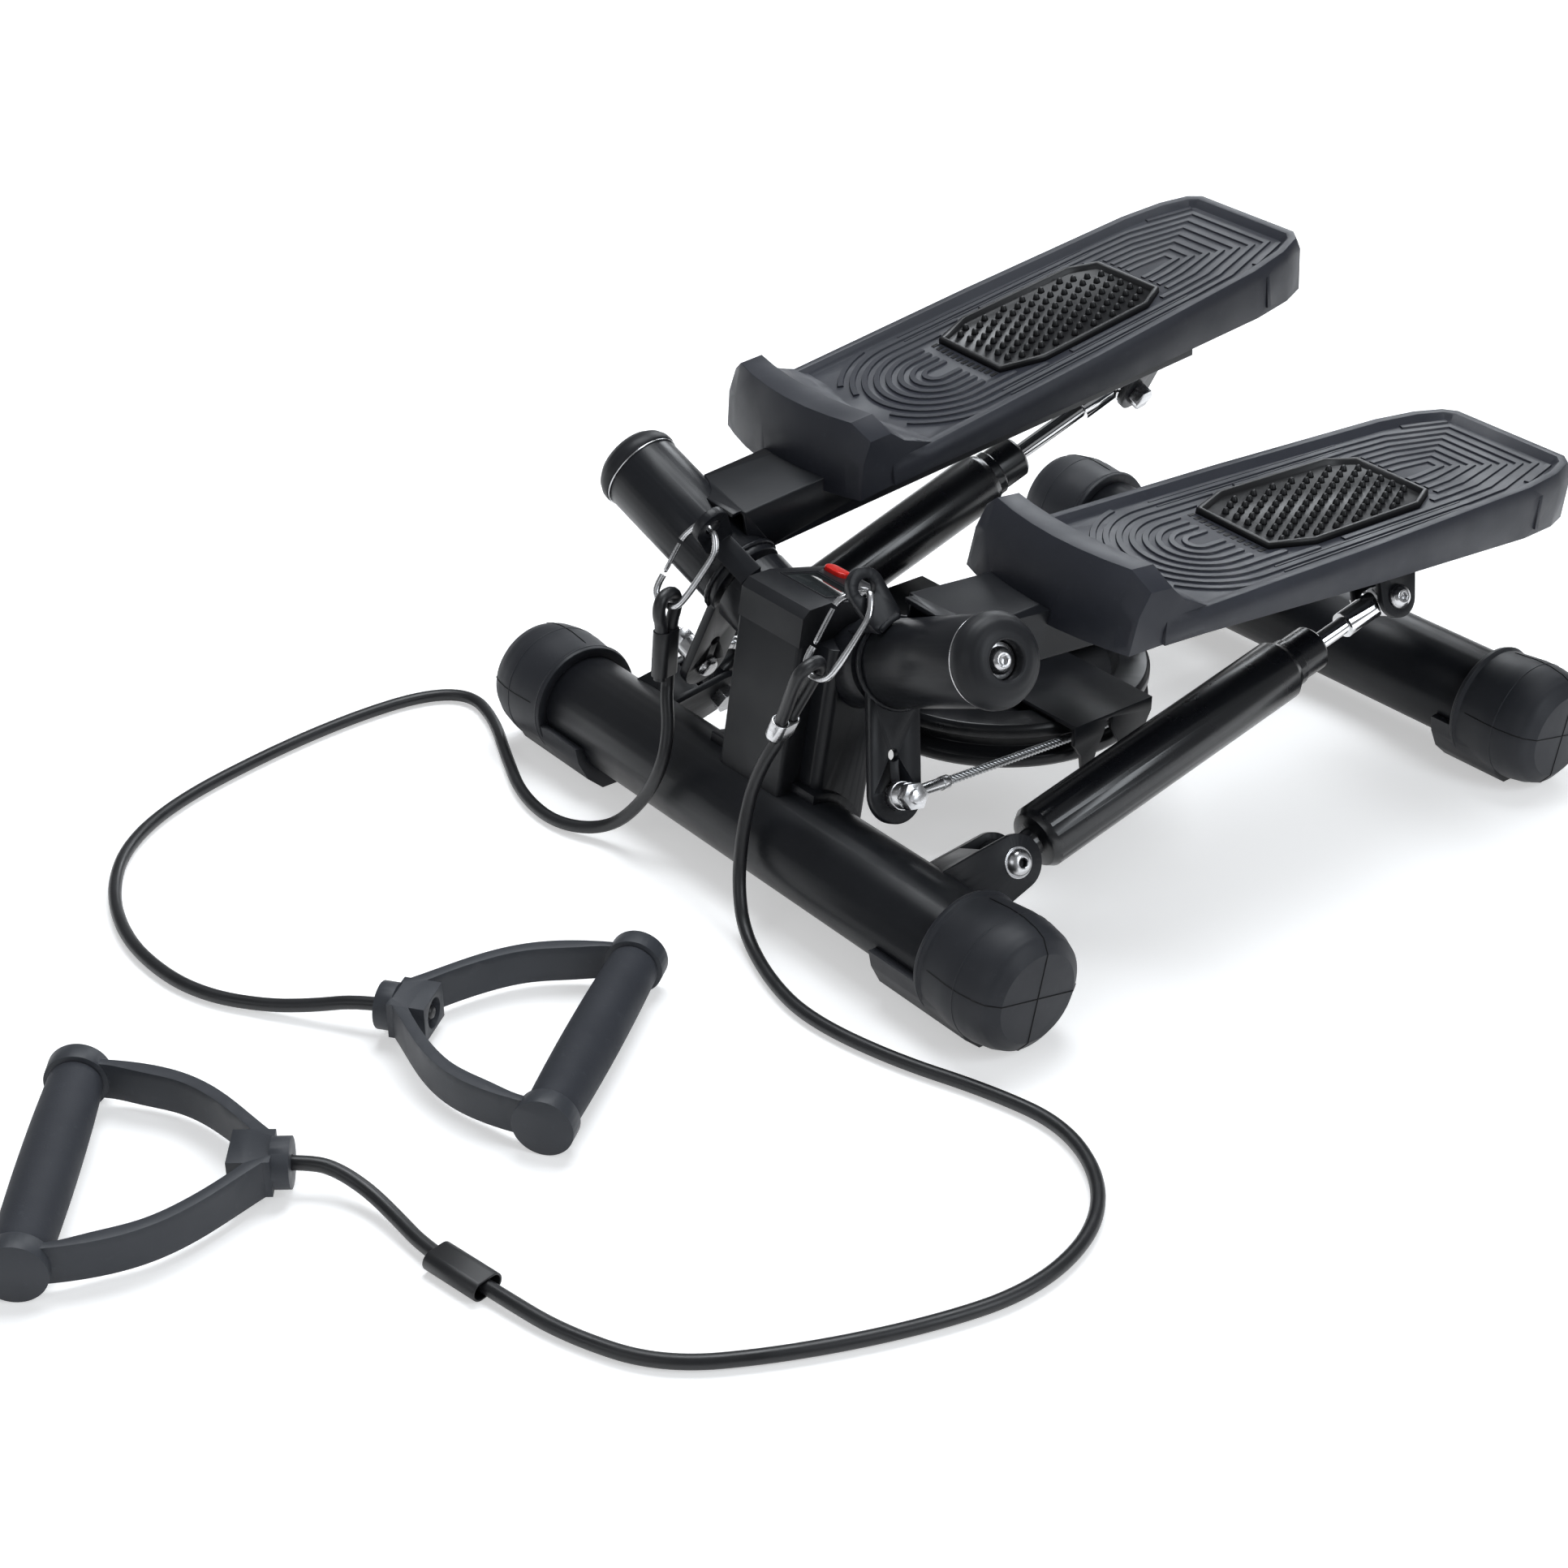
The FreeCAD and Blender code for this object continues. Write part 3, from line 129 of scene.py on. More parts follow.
# ---- node helpers ---------------------------------------------------------------
class Graph:
    def __init__(self, name):
        self.mat = bpy.data.materials.new(name)
        self.mat.use_nodes = True
        self.tree = self.mat.node_tree
        self.tree.nodes.clear()
        self.out = self.add("ShaderNodeOutputMaterial")
        self.coord = None

    def add(self, kind, **props):
        n = self.tree.nodes.new(kind)
        for k, v in props.items():
            setattr(n, k, v)
        return n

    def link(self, a, b):
        self.tree.links.new(a, b)

    def obj(self):
        if self.coord is None:
            self.coord = self.add("ShaderNodeTexCoord").outputs["Object"]
        return self.coord

    def scaled(self, scale):
        m = self.add("ShaderNodeMapping")
        m.inputs["Scale"].default_value = scale if isinstance(scale, (tuple, list)) else (scale,) * 3
        self.link(self.obj(), m.inputs["Vector"])
        return m.outputs["Vector"]

    def noise(self, scale, detail=4.0, rough=0.5, vector=None, distortion=0.0):
        n = self.add("ShaderNodeTexNoise")
        n.inputs["Scale"].default_value = scale
        n.inputs["Detail"].default_value = detail
        n.inputs["Roughness"].default_value = rough
        n.inputs["Distortion"].default_value = distortion
        self.link(vector if vector is not None else self.obj(), n.inputs["Vector"])
        return n.outputs["Fac"]

    def ramp(self, fac, stops):
        r = self.add("ShaderNodeValToRGB")
        els = r.color_ramp.elements
        while len(els) < len(stops):
            els.new(0.5)
        for e, (p, c) in zip(els, stops):
            e.position = p
            e.color = (*c, 1.0) if isinstance(c, (tuple, list)) else (c, c, c, 1.0)
        self.link(fac, r.inputs["Fac"])
        return r.outputs["Color"]

    def remap(self, fac, lo, hi, a=0.3, b=0.7):
        m = self.add("ShaderNodeMapRange")
        for k, v in (("From Min", a), ("From Max", b), ("To Min", lo), ("To Max", hi)):
            m.inputs[k].default_value = v
        self.link(fac, m.inputs["Value"])
        return m.outputs["Result"]

    def math(self, op, a, b=None):
        m = self.add("ShaderNodeMath", operation=op)
        for i, v in enumerate((a, b)):
            if v is None:
                continue
            if isinstance(v, (int, float)):
                m.inputs[i].default_value = v
            else:
                self.link(v, m.inputs[i])
        return m.outputs[0]

    def mix(self, fac, a, b, blend="MIX"):
        m = self.add("ShaderNodeMix", data_type="RGBA", blend_type=blend)
        for name, v in (("A", a), ("B", b)):
            s = [i for i in m.inputs if i.name == name and i.type == "RGBA"][0]
            if isinstance(v, (tuple, list)):
                s.default_value = (*v, 1.0)
            else:
                self.link(v, s)
        f = m.inputs[0]
        if isinstance(fac, (int, float)):
            f.default_value = fac
        else:
            self.link(fac, f)
        return [o for o in m.outputs if o.type == "RGBA"][0]

    def bump(self, height, distance, strength=1.0, normal=None):
        b = self.add("ShaderNodeBump")
        b.inputs["Strength"].default_value = strength
        b.inputs["Distance"].default_value = distance
        self.link(height, b.inputs["Height"])
        if normal is not None:
            self.link(normal, b.inputs["Normal"])
        return b.outputs["Normal"]

    def principled(self, color=None, rough=None, normal=None, metallic=0.0, **sockets):
        p = self.add("ShaderNodeBsdfPrincipled")
        p.inputs["Metallic"].default_value = metallic
        for key, v in (("Base Color", color), ("Roughness", rough), ("Normal", normal)):
            if v is None:
                continue
            if isinstance(v, (tuple, list)):
                p.inputs[key].default_value = (*v, 1.0)
            elif isinstance(v, (int, float)):
                p.inputs[key].default_value = v
            else:
                self.link(v, p.inputs[key])
        for k, v in sockets.items():
            p.inputs[k.replace("_", " ")].default_value = v
        self.link(p.outputs[0], self.out.inputs[0])
        return p


def grained(name, low, high, rough, grain_mm, depth_mm, tint_scale=9.0, spec=0.5, coat=0.0, coat_rough=0.2,
            dust=0.0):
    """Pigmented surface: slow colour drift, roughness drift, and a fine grain in the bump."""
    g = Graph(name)
    drift = g.noise(tint_scale, 5.0, 0.6)
    color = g.ramp(drift, [(0.3, low), (0.72, high)])
    if dust:
        speck = g.noise(220.0, 3.0, 0.7)
        pale = tuple(min(1.0, c * 3.2 + 0.02) for c in high)
        color = g.mix(g.remap(speck, 0.0, dust, 0.60, 0.74), color, pale)
    r = g.remap(g.noise(34.0, 3.0, 0.55), rough[0], rough[1])
    fine = g.noise(1000.0 / grain_mm, 2.0, 0.5)
    wave = g.noise(1000.0 / (grain_mm * 14.0), 2.0, 0.5)
    n = g.bump(wave, depth_mm * 2.5 * MM, 0.35)
    n = g.bump(fine, depth_mm * MM, 0.6, n)
    g.principled(color, r, n, Specular_IOR_Level=spec, Coat_Weight=coat, Coat_Roughness=coat_rough)
    return g.mat


def brushed(name, low, high, rough, streak=(40.0, 40.0, 900.0), depth=0.012):
    g = Graph(name)
    lines = g.noise(1.0, 4.0, 0.6, g.scaled(streak))
    blot = g.noise(60.0, 4.0, 0.6)
    color = g.mix(0.5, g.ramp(lines, [(0.3, low), (0.7, high)]), g.ramp(blot, [(0.3, low), (0.7, high)]))
    r = g.remap(blot, rough[0], rough[1])
    g.principled(color, r, g.bump(lines, depth * MM, 0.5), metallic=1.0)
    return g.mat


# slot: (material, darkest colour, lightest colour, roughness range, grain size mm, grain depth mm, options)
GRAINED = {
    "painted_steel": ("satin_black_paint", (0.0080, 0.0086, 0.0108), (0.0120, 0.0130, 0.0160),
                      (0.30, 0.40), 1.1, 0.020, dict(spec=0.26, dust=0.05)),
    "moulded_cover": ("moulded_black_cover", (0.0100, 0.0106, 0.0126), (0.0150, 0.0158, 0.0185),
                      (0.40, 0.52), 0.5, 0.02, dict(spec=0.26)),
    "pedal_plastic": ("pedal_moulding", (0.0165, 0.0182, 0.0258), (0.0230, 0.0252, 0.0345),
                      (0.42, 0.54), 0.55, 0.035, dict(tint_scale=14.0, spec=0.36, dust=0.06)),
    "pad_rubber": ("pad_rubber", (0.0052, 0.0054, 0.0062), (0.0084, 0.0087, 0.0100),
                   (0.36, 0.48), 0.5, 0.02, dict(spec=0.4)),
    "foot_rubber": ("foot_rubber", (0.0150, 0.0163, 0.0205), (0.0215, 0.0232, 0.0290),
                    (0.46, 0.58), 0.8, 0.03, dict(spec=0.34, dust=0.05)),
    "pulley_plastic": ("pulley_plastic", (0.0085, 0.0090, 0.0105), (0.0130, 0.0136, 0.0155),
                       (0.26, 0.38), 0.8, 0.02, dict(spec=0.4)),
    "damper_paint": ("damper_gloss_paint", (0.0050, 0.0055, 0.0072), (0.0075, 0.0082, 0.0105),
                     (0.24, 0.32), 2.2, 0.010, dict(spec=0.5, coat=0.25, coat_rough=0.18)),
    "handle_plastic": ("handle_moulding", (0.0330, 0.0360, 0.0430), (0.0430, 0.0465, 0.0550),
                       (0.44, 0.56), 0.7, 0.03, dict(spec=0.38, dust=0.05)),
    "grip_foam": ("grip_foam", (0.0270, 0.0295, 0.0365), (0.0400, 0.0430, 0.0520),
                  (0.60, 0.74), 0.9, 0.12, dict(spec=0.3, dust=0.06)),
    "band_rubber": ("band_cover", (0.0080, 0.0082, 0.0095), (0.0130, 0.0133, 0.0150),
                    (0.34, 0.46), 0.4, 0.02, {}),
    "mark": ("printed_mark", (0.62, 0.62, 0.63), (0.74, 0.74, 0.75), (0.4, 0.5), 0.4, 0.005, {}),
    # pad_shadow: near-black painted shade, laid on the slots in front of the pads and on the parting lines of
    # the feet
    "pad_shadow": ("pad_recess", (0.0030, 0.0031, 0.0036), (0.0046, 0.0048, 0.0055),
                   (0.5, 0.6), 0.5, 0.01, dict(spec=0.2)),
}
# slot: (material, darkest colour, lightest colour, roughness range, options)
BRUSHED = {
    "bright_steel": ("zinc_plated_steel", (0.50, 0.50, 0.51), (0.74, 0.74, 0.75), (0.20, 0.34), {}),
    "steel_cable": ("cable_wire", (0.34, 0.35, 0.36), (0.62, 0.63, 0.64), (0.26, 0.4),
                    dict(streak=(90.0, 90.0, 90.0))),
    "chrome_rod": ("polished_rod", (0.78, 0.79, 0.80), (0.90, 0.90, 0.91), (0.05, 0.12),
                   dict(streak=(400.0, 30.0, 400.0), depth=0.003)),
}
MAT = {slot: grained(*row[:-1], **row[-1]) for slot, row in GRAINED.items()}
MAT.update({slot: brushed(*row[:-1], **row[-1]) for slot, row in BRUSHED.items()})


def red_material():
    g = Graph("button_red")
    c = g.ramp(g.noise(160.0, 3.0, 0.5), [(0.3, (0.62, 0.012, 0.008)), (0.7, (0.74, 0.020, 0.012))])
    n = g.bump(g.noise(1800.0, 2.0), 0.010 * MM, 0.5)
    g.principled(c, g.remap(g.noise(90.0), 0.26, 0.36), n, Coat_Weight=0.2)
    return g.mat


def display_material():
    g = Graph("display_glass")
    c = g.ramp(g.noise(70.0, 3.0, 0.5), [(0.3, (0.020, 0.023, 0.024)), (0.7, (0.030, 0.034, 0.035))])
    n = g.bump(g.noise(300.0, 2.0), 0.004 * MM, 0.4)
    g.principled(c, g.remap(g.noise(60.0), 0.05, 0.12), n, Coat_Weight=0.6, Coat_Roughness=0.04)
    return g.mat


MAT["red_button"] = red_material()
MAT["display"] = display_material()


def white_stage():
    """Pale floor that reads white to the camera and keeps the object's shadow."""
    g = Graph("floor_white")
    path = g.add("ShaderNodeLightPath")
    seen = g.math("MAXIMUM", path.outputs["Is Camera Ray"], g.math(
        "MAXIMUM", path.outputs["Is Glossy Ray"], path.outputs["Is Transmission Ray"]))
    d = g.add("ShaderNodeBsdfDiffuse")
    tone = g.ramp(g.noise(2.5, 3.0, 0.5), [(0.3, 0.80), (0.7, 0.83)])
    g.link(tone, d.inputs["Color"])
    e = g.add("ShaderNodeEmission")
    away = g.add("ShaderNodeVectorMath", operation="LENGTH")
    g.link(g.obj(), away.inputs[0])
    glow = g.remap(away.outputs["Value"], 0.46, 1.0, 1.1, 2.6)
    g.link(g.math("MULTIPLY", seen, glow), e.inputs["Strength"])
    a = g.add("ShaderNodeAddShader")
    g.link(d.outputs[0], a.inputs[0])
    g.link(e.outputs[0], a.inputs[1])
    g.link(a.outputs[0], g.out.inputs[0])
    return g.mat


FLOOR_HALF, FLOOR_DROP = 6.0, 0.0004


def build_stage():
    me = bpy.data.meshes.new("floor")
    s = FLOOR_HALF
    me.from_pydata([(-s, -s, 0), (s, -s, 0), (s, s, 0), (-s, s, 0)], [], [(0, 1, 2, 3)])
    me.materials.append(white_stage())
    o = bpy.data.objects.new("floor", me)
    scene.collection.objects.link(o)
    o.location.z = -FLOOR_DROP
    w = bpy.data.worlds.new("world")
    scene.world = w
    w.use_nodes = True
    t = w.node_tree
    t.nodes.clear()
    out = t.nodes.new("ShaderNodeOutputWorld")
    bg = t.nodes.new("ShaderNodeBackground")
    path = t.nodes.new("ShaderNodeLightPath")
    m = t.nodes.new("ShaderNodeMapRange")
    m.inputs["To Min"].default_value = 0.24
    m.inputs["To Max"].default_value = 1.0
    t.links.new(path.outputs["Is Camera Ray"], m.inputs["Value"])
    t.links.new(m.outputs["Result"], bg.inputs["Strength"])
    bg.inputs["Color"].default_value = (0.955, 0.975, 1.0, 1.0)
    t.links.new(bg.outputs[0], out.inputs[0])


build_stage()


# ---- dressing the CAD nodes ------------------------------------------------------
def smooth(me):
    for p in me.polygons:
        p.use_smooth = True


def dress(name, slot, bevel=0.5, angle=32.0, segments=2):
    o = nodes[name]
    me = o.data
    me.materials.clear()
    me.materials.append(MAT[slot])
    smooth(me)
    w = o.modifiers.new("weld", "WELD")
    w.merge_threshold = 0.00002
    if bevel:
        b = o.modifiers.new("bevel", "BEVEL")
        b.width = bevel * MM
        b.segments = segments
        b.limit_method = "ANGLE"
        b.angle_limit = math.radians(angle)
        b.harden_normals = True
        b.miter_outer = "MITER_ARC"


SLOTS = {s["node"]: s["material_slot"] for s in frame["record"]["subparts"]}
BEVEL = {"painted_steel": 0.7, "pedal_plastic": 0.9, "moulded_cover": 0.7, "foot_rubber": 0.8,
         "handle_plastic": 0.9, "bright_steel": 0.25, "chrome_rod": 0.2, "damper_paint": 0.5,
         "red_button": 0.15, "display": 0.1, "steel_cable": 0.0, "band_rubber": 0.4, "grip_foam": 0.8,
         "pulley_plastic": 0.5, "pad_rubber": 0.3}
for node_name, slot_name in SLOTS.items():
    dress(node_name, slot_name, BEVEL.get(slot_name, 0.4))


# ---- making pieces ---------------------------------------------------------------
def add_mesh(name, bm, mat, body, replace=(), sm=True, matrix=None):
    if matrix is not None:
        bm.transform(matrix)
        if matrix.determinant() < 0:
            bmesh.ops.reverse_faces(bm, faces=bm.faces)
    bm.normal_update()
    me = bpy.data.meshes.new(name)
    bm.to_mesh(me)
    bm.free()
    me.materials.append(MAT[mat] if isinstance(mat, str) else mat)
    if sm:
        smooth(me)
    o = bpy.data.objects.new(name, me)
    scene.collection.objects.link(o)
    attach(o, body)
    if replace:
        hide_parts(*replace)
    return o


def to_m(m):
    """Matrix in mm to one that takes mm meshes to metres."""
    return Matrix.Diagonal((MM, MM, MM, 1)) @ m


def on_side(m, side):
    """A left-hand matrix as it is, or mirrored to the right."""
    return m if side == "left" else MIRROR @ m


def soften(o, width, angle=32.0, segments=2):
    b = o.modifiers.new("bevel", "BEVEL")
    b.width = width * MM
    b.segments = segments
    b.limit_method = "ANGLE"
    b.angle_limit = math.radians(angle)
    b.harden_normals = True
    return o


def loft(bm, sections, close_ring=True, caps=True):
    rings = [[bm.verts.new(p) for p in s] for s in sections]
    n = len(rings[0])
    for a, b in zip(rings, rings[1:]):
        for i in range(n if close_ring else n - 1):
            j = (i + 1) % n
            bm.faces.new((a[i], a[j], b[j], b[i]))
    if caps:
        bm.faces.new(list(reversed(rings[0])))
        bm.faces.new(rings[-1])
    return rings


def sweep(bm, path, profile, closed=False, up=V((0, 0, 1))):
    """Profile (across, height) carried along a path in a plane square to up."""
    secs = []
    n = len(path)
    for i in range(n):
        a = path[i - 1] if (i > 0 or closed) else path[i]
        b = path[(i + 1) % n] if (i < n - 1 or closed) else path[i]
        t = (b - a).normalized()
        side = t.cross(up).normalized()
        before = (path[i] - a).normalized() if (path[i] - a).length > 1e-9 else t
        k = 1.0 / max(0.35, abs(before.dot(t))) if 0 < i < n - 1 or closed else 1.0
        secs.append([path[i] + side * (u * min(k, 1.6)) + up * v for u, v in profile])
    if closed:
        secs.append(secs[0])
        rings = [[bm.verts.new(p) for p in s] for s in secs[:-1]]
        rings.append(rings[0])
        m = len(profile)
        for a, b in zip(rings, rings[1:]):
            for i in range(m):
                j = (i + 1) % m
                bm.faces.new((a[i], a[j], b[j], b[i]))
    else:
        loft(bm, secs)


# ---- massage pads ------------------------------------------------------------------
PAD = [(-28, 82), (-38, 108), (-37, 188), (-27, 206), (27, 206), (37, 188), (38, 108), (28, 82)]


def inset(points, d):
    out, n = [], len(points)
    for i in range(n):
        p0, p1, p2 = V(points[i - 1]), V(points[i]), V(points[(i + 1) % n])
        a, b = (p1 - p0).normalized(), (p2 - p1).normalized()
        m = V((a.y, -a.x)) + V((b.y, -b.x))
        m = m * (d / max(0.2, m.length_squared / 2.0))
        out.append((p1.x + m.x, p1.y + m.y))
    return out


def inside(poly, x, y):
    hit = False
    for i in range(len(poly)):
        (x1, y1), (x2, y2) = poly[i - 1], poly[i]
        if (y1 > y) != (y2 > y) and x < (x2 - x1) * (y - y1) / (y2 - y1) + x1:
            hit = not hit
    return hit


STUD = [(2.3, -TRAY - 0.2), (2.0, -TRAY + 0.7), (1.7, -TRAY + 2.0), (1.2, -TRAY + 2.8), (0.45, -TRAY + 3.2)]
STUD_STEP, STUD_ROW, STUD_SHIFT = 8.6, 7.3, 4.3
STUD_SIDES = 10


def stud(bm, x, y):
    turns = [math.pi * t * 2 / STUD_SIDES for t in range(STUD_SIDES)]
    loft(bm, [[V((x + r * math.cos(a), y + r * math.sin(a), h)) for a in turns] for r, h in STUD])


def massage_pad(side):
    """Raised rim round a sunk field of pointed studs in staggered rows."""
    bm = bmesh.new()
    rings = [(0.2, -TRAY - 1.8), (0.2, -2.0), (0.5, -0.9), (1.3, -0.5), (2.4, -0.5), (3.1, -0.9), (3.6, -3.4),
             (4.2, -TRAY - 0.1)]
    loft(bm, [[V((x, y, z)) for x, y in inset(PAD, d)] for d, z in rings])
    field = inset(PAD, 6.6)
    row = 0
    y = 88.5
    while y < 202:
        x = -31.5 + (STUD_SHIFT if row % 2 else 0.0)
        while x <= 34.0:
            if inside(field, x, y):
                stud(bm, x, y)
            x += STUD_STEP
        y += STUD_ROW
        row += 1
    add_mesh(side + "_pad_studs", bm, "pad_rubber", side + "_pedal_arm", (side + "_massage_pad",),
             matrix=to_m(PEDAL_AT[side]))


for side_name in ("left", "right"):
    massage_pad(side_name)


# ---- tread ridges on the pedals --------------------------------------------------
OUTLINE = [(-65.7, 0), (-64.0, 130), (-59.6, 253), (-55.0, 281), (-48.0, 298), (-40.0, 304),
           (40.0, 304), (48.0, 298), (55.0, 281), (59.6, 253), (64.0, 130), (65.7, 0)]
TREAD_PITCH, TREAD_CENTRE = 7.0, 58.0
TOE_BACK = 11.0
RIDGE = [(-2.1, -0.3), (2.1, -0.3), (1.5, 0.95), (-1.5, 0.95)]
FINE_RIDGE = [(-0.8, -0.3), (0.8, -0.3), (0.45, 0.5), (-0.45, 0.5)]


def tread_loop(w):
    """One tread line: round the toe end, along both sides and mitred across the heel end."""
    pts = [V((w * math.cos(a), TREAD_CENTRE + w * math.sin(a), 0))
           for a in (math.pi + math.pi * i / 28 for i in range(29))]
    taper = 1.0 - 0.045 * w / 56.0
    heel = [(w * taper, 215.0), (w * taper * 0.965, 250.0 - (56.0 - w) * 0.6),
            (w * 0.66, 296.0 - (56.0 - w) * 1.15)]
    return pts + [V((x, y, 0)) for x, y in heel] + [V((-x, y, 0)) for x, y in reversed(heel)]


def dense(points, step, closed=True):
    out = []
    n = len(points)
    for i in range(n if closed else n - 1):
        a, b = points[i], points[(i + 1) % n]
        k = max(1, int((b - a).length / step))
        out += [a.lerp(b, j / k) for j in range(k)]
    if not closed:
        out.append(points[-1])
    return out


def runs_of(loop, keep):
    """Stretches of a closed loop whose points are kept."""
    n = len(loop)
    ok = [keep(q) for q in loop]
    if all(ok):
        return [loop + [loop[0]]]
    start = next(i for i in range(n) if not ok[i])
    runs, cur = [], []
    for k in range(1, n + 1):
        i = (start + k) % n
        if ok[i]:
            cur.append(loop[i])
        elif cur:
            runs.append(cur)
            cur = []
    return runs


def treads(side):
    bm = bmesh.new()
    keep_out, field = inset(PAD, -3.6), inset(OUTLINE, 10.4)

    def clear(q):
        marks = abs(q.x) < 32 and 71.0 < q.y < 84.0
        return inside(field, q.x, q.y) and not inside(keep_out, q.x, q.y) and q.y > TOE_BACK and not marks

    w = TREAD_PITCH
    while w < 57.0:
        for run in runs_of(dense(tread_loop(w), 2.0), clear):
            if len(run) > 3:
                sweep(bm, [q + V((0, 0, -TRAY)) for q in run], RIDGE)
        if w > 38.0:
            for run in runs_of(dense(tread_loop(w + TREAD_PITCH / 2), 3.0),
                               lambda q: clear(q) and 70.0 < q.y < 215.0):
                if len(run) > 3:
                    sweep(bm, [q + V((0, 0, -TRAY)) for q in run], FINE_RIDGE)
        w += TREAD_PITCH
    add_mesh(side + "_pedal_treads", bm, "pedal_plastic", side + "_pedal_arm",
             matrix=to_m(PEDAL_AT[side]), sm=False)


def pad_dashes(side):
    """Row of small near-black boxes in front of the pad: painted shade where the slots show dark."""
    bm = bmesh.new()
    for i in range(12):
        x = (i - 5.5) * 4.9
        y = 77.0 + abs(x) * 0.06
        corners = ((-1.2, -2.2), (1.2, -2.2), (1.2, 2.2), (-1.2, 2.2))
        loft(bm, [[V((x + a, y + b, -TRAY + h)) for a, b in corners] for h in (-0.2, 0.25)])
    # the boxes carry the near-black painted shade of the slots
    add_mesh(side + "_pad_slot_shade", bm, "pad_shadow", side + "_pedal_arm",
             matrix=to_m(PEDAL_AT[side]), sm=False)


for side_name in ("left", "right"):
    treads(side_name)
    pad_dashes(side_name)


# ---- seams, welds and rings ------------------------------------------------------
SLEEVE_R, SLEEVE_LEN = 23.3, 87.0
AXLE_Z, BASE_Y = 36.0, 209.0
FEET = {"front": (167.0, -BASE_Y), "rear": (159.0, BASE_Y)}


def torus(bm, ring_r, tube_r, z, steps=72, sides=10, ripple=0.0):
    """Ring of round section about local Z; ripple makes the scales of a weld bead."""
    rings = []
    for i in range(steps):
        a = 2 * math.pi * i / steps
        t = tube_r * (1.0 + ripple * math.sin(i * math.pi / 1.5))
        ring = []
        for k in range(sides):
            b = 2 * math.pi * k / sides
            r = ring_r + t * math.cos(b)
            ring.append(bm.verts.new((math.cos(a) * r, math.sin(a) * r, z + t * math.sin(b))))
        rings.append(ring)
    for i in range(steps):
        r0, r1 = rings[i], rings[(i + 1) % steps]
        for k in range(sides):
            j = (k + 1) % sides
            bm.faces.new((r0[k], r1[k], r1[j], r0[j]))


def ring_piece(name, mat, body, matrix, rings):
    bm = bmesh.new()
    for ring in rings:
        torus(bm, *ring)
    add_mesh(name, bm, mat, body, matrix=to_m(matrix))


def foot_frame(end, side):
    """Local Z out along the tube from the foot's lip."""
    lip, y = FEET[end]
    return on_side(frame_matrix(V((lip, y, AXLE_Z)), V((1, 0, 0)), V((0, 0, 1))), side)


for side_name in ("left", "right"):
    pivot = PIVOT_AT[side_name]
    arm_body = side_name + "_pedal_arm"
    ring_piece(side_name + "_cap_ring", "bright_steel", arm_body, pivot, [(23.55, 0.55, -0.75)])
    ring_piece(side_name + "_lever_weld", "painted_steel", arm_body, pivot,
               [(SLEEVE_R + 0.4, 1.5, -SLEEVE_LEN - 0.2, 96, 8, 0.12)])
    for end in FEET:
        ring_piece("foot_%s_%s_seam" % (end, side_name), "foot_rubber", "base", foot_frame(end, side_name),
                   [(34.3, 0.7, 2.6), (35.1, 0.5, 30.0)])


FOOT_FACE = [(33.9, 9.0), (34.4, 12.0), (35.5, 24.0), (35.3, 34.0), (33.7, 43.0), (31.3, 49.0),
             (24.5, 54.1), (0.0, 54.1)]
MOULD_LINE = [(-0.4, -0.3), (0.4, -0.3), (0.15, 0.28), (-0.15, 0.28)]


def mould_lines(end, side):
    """Two fine raised parting lines that cross on the end face of a foot, coloured near-black with painted
    shade.
    """
    bm = bmesh.new()
    for a in (math.radians(78), math.radians(-12)):
        half = [V((r * math.cos(a), r * math.sin(a), z)) for r, z in FOOT_FACE]
        other = [V((-q.x, -q.y, q.z)) for q in reversed(half[:-1])]
        across = V((-math.sin(a), math.cos(a), 0))
        path = dense(half + other, 3.0, closed=False)
        secs = []
        for i, q in enumerate(path):
            t = (path[min(i + 1, len(path) - 1)] - path[max(i - 1, 0)]).normalized()
            out = across.cross(t)
            out = out if out.dot(V((q.x, q.y, q.z - 20.0))) > 0 else -out
            secs.append([q + across * u + out * v for u, v in MOULD_LINE])
        loft(bm, secs)
    # the lines carry the near-black painted shade, not the rubber's colour
    add_mesh("foot_%s_%s_lines" % (end, side), bm, "pad_shadow", "base", sm=False,
             matrix=to_m(foot_frame(end, side)))


for side_name in ("left", "right"):
    mould_lines("front", side_name)
    mould_lines("rear", side_name)


# ---- bolt heads of the damper feet, knots in the handles -------------------------
DAMPER_LOW, DAMPER_TOP = V((129.4, -149.0, 47.7)), V((125.3, 142.7, 110.9))
BOLT_HEAD = [(7.3, 13.3), (7.3, 14.7), (6.9, 15.8), (5.9, 17.1), (4.1, 18.4), (3.0, 18.5), (2.6, 18.0),
             (2.4, 15.4)]
BOLT_WASHER = [(8.6, 13.2), (8.6, 13.9), (7.4, 14.0)]
NUT_ACROSS = 13.4
HANDLES = {"left": (V((79.0, -555.1, 15.6)), V((18.1, -637.6, 15.6))),
           "right": (V((7.3, -444.4, 15.6)), V((89.5, -383.0, 15.6)))}


def turned_solid(bm, profile, steps=32):
    """Closed surface of revolution about local Z from (radius, height) pairs, first and last off the axis."""
    loft(bm, [[V((r * math.cos(2 * math.pi * k / steps), r * math.sin(2 * math.pi * k / steps), z))
               for k in range(steps)] for r, z in profile])


def foot_bolt(side):
    low = DAMPER_TOP - DAMPER_LOW
    high = swing(2 * HALF_SWING) @ DAMPER_TOP - DAMPER_LOW
    m = frame_matrix(DAMPER_LOW, low.cross(high), V((0, 0, 1)))
    bm = bmesh.new()
    turned_solid(bm, BOLT_HEAD)
    turned_solid(bm, BOLT_WASHER)
    turned_solid(bm, [(NUT_ACROSS / math.sqrt(3), z) for z in (-20.8, -13.3)], steps=6)
    soften(add_mesh(side + "_foot_bolt", bm, "bright_steel", "base", matrix=to_m(on_side(m, side))), 0.3)


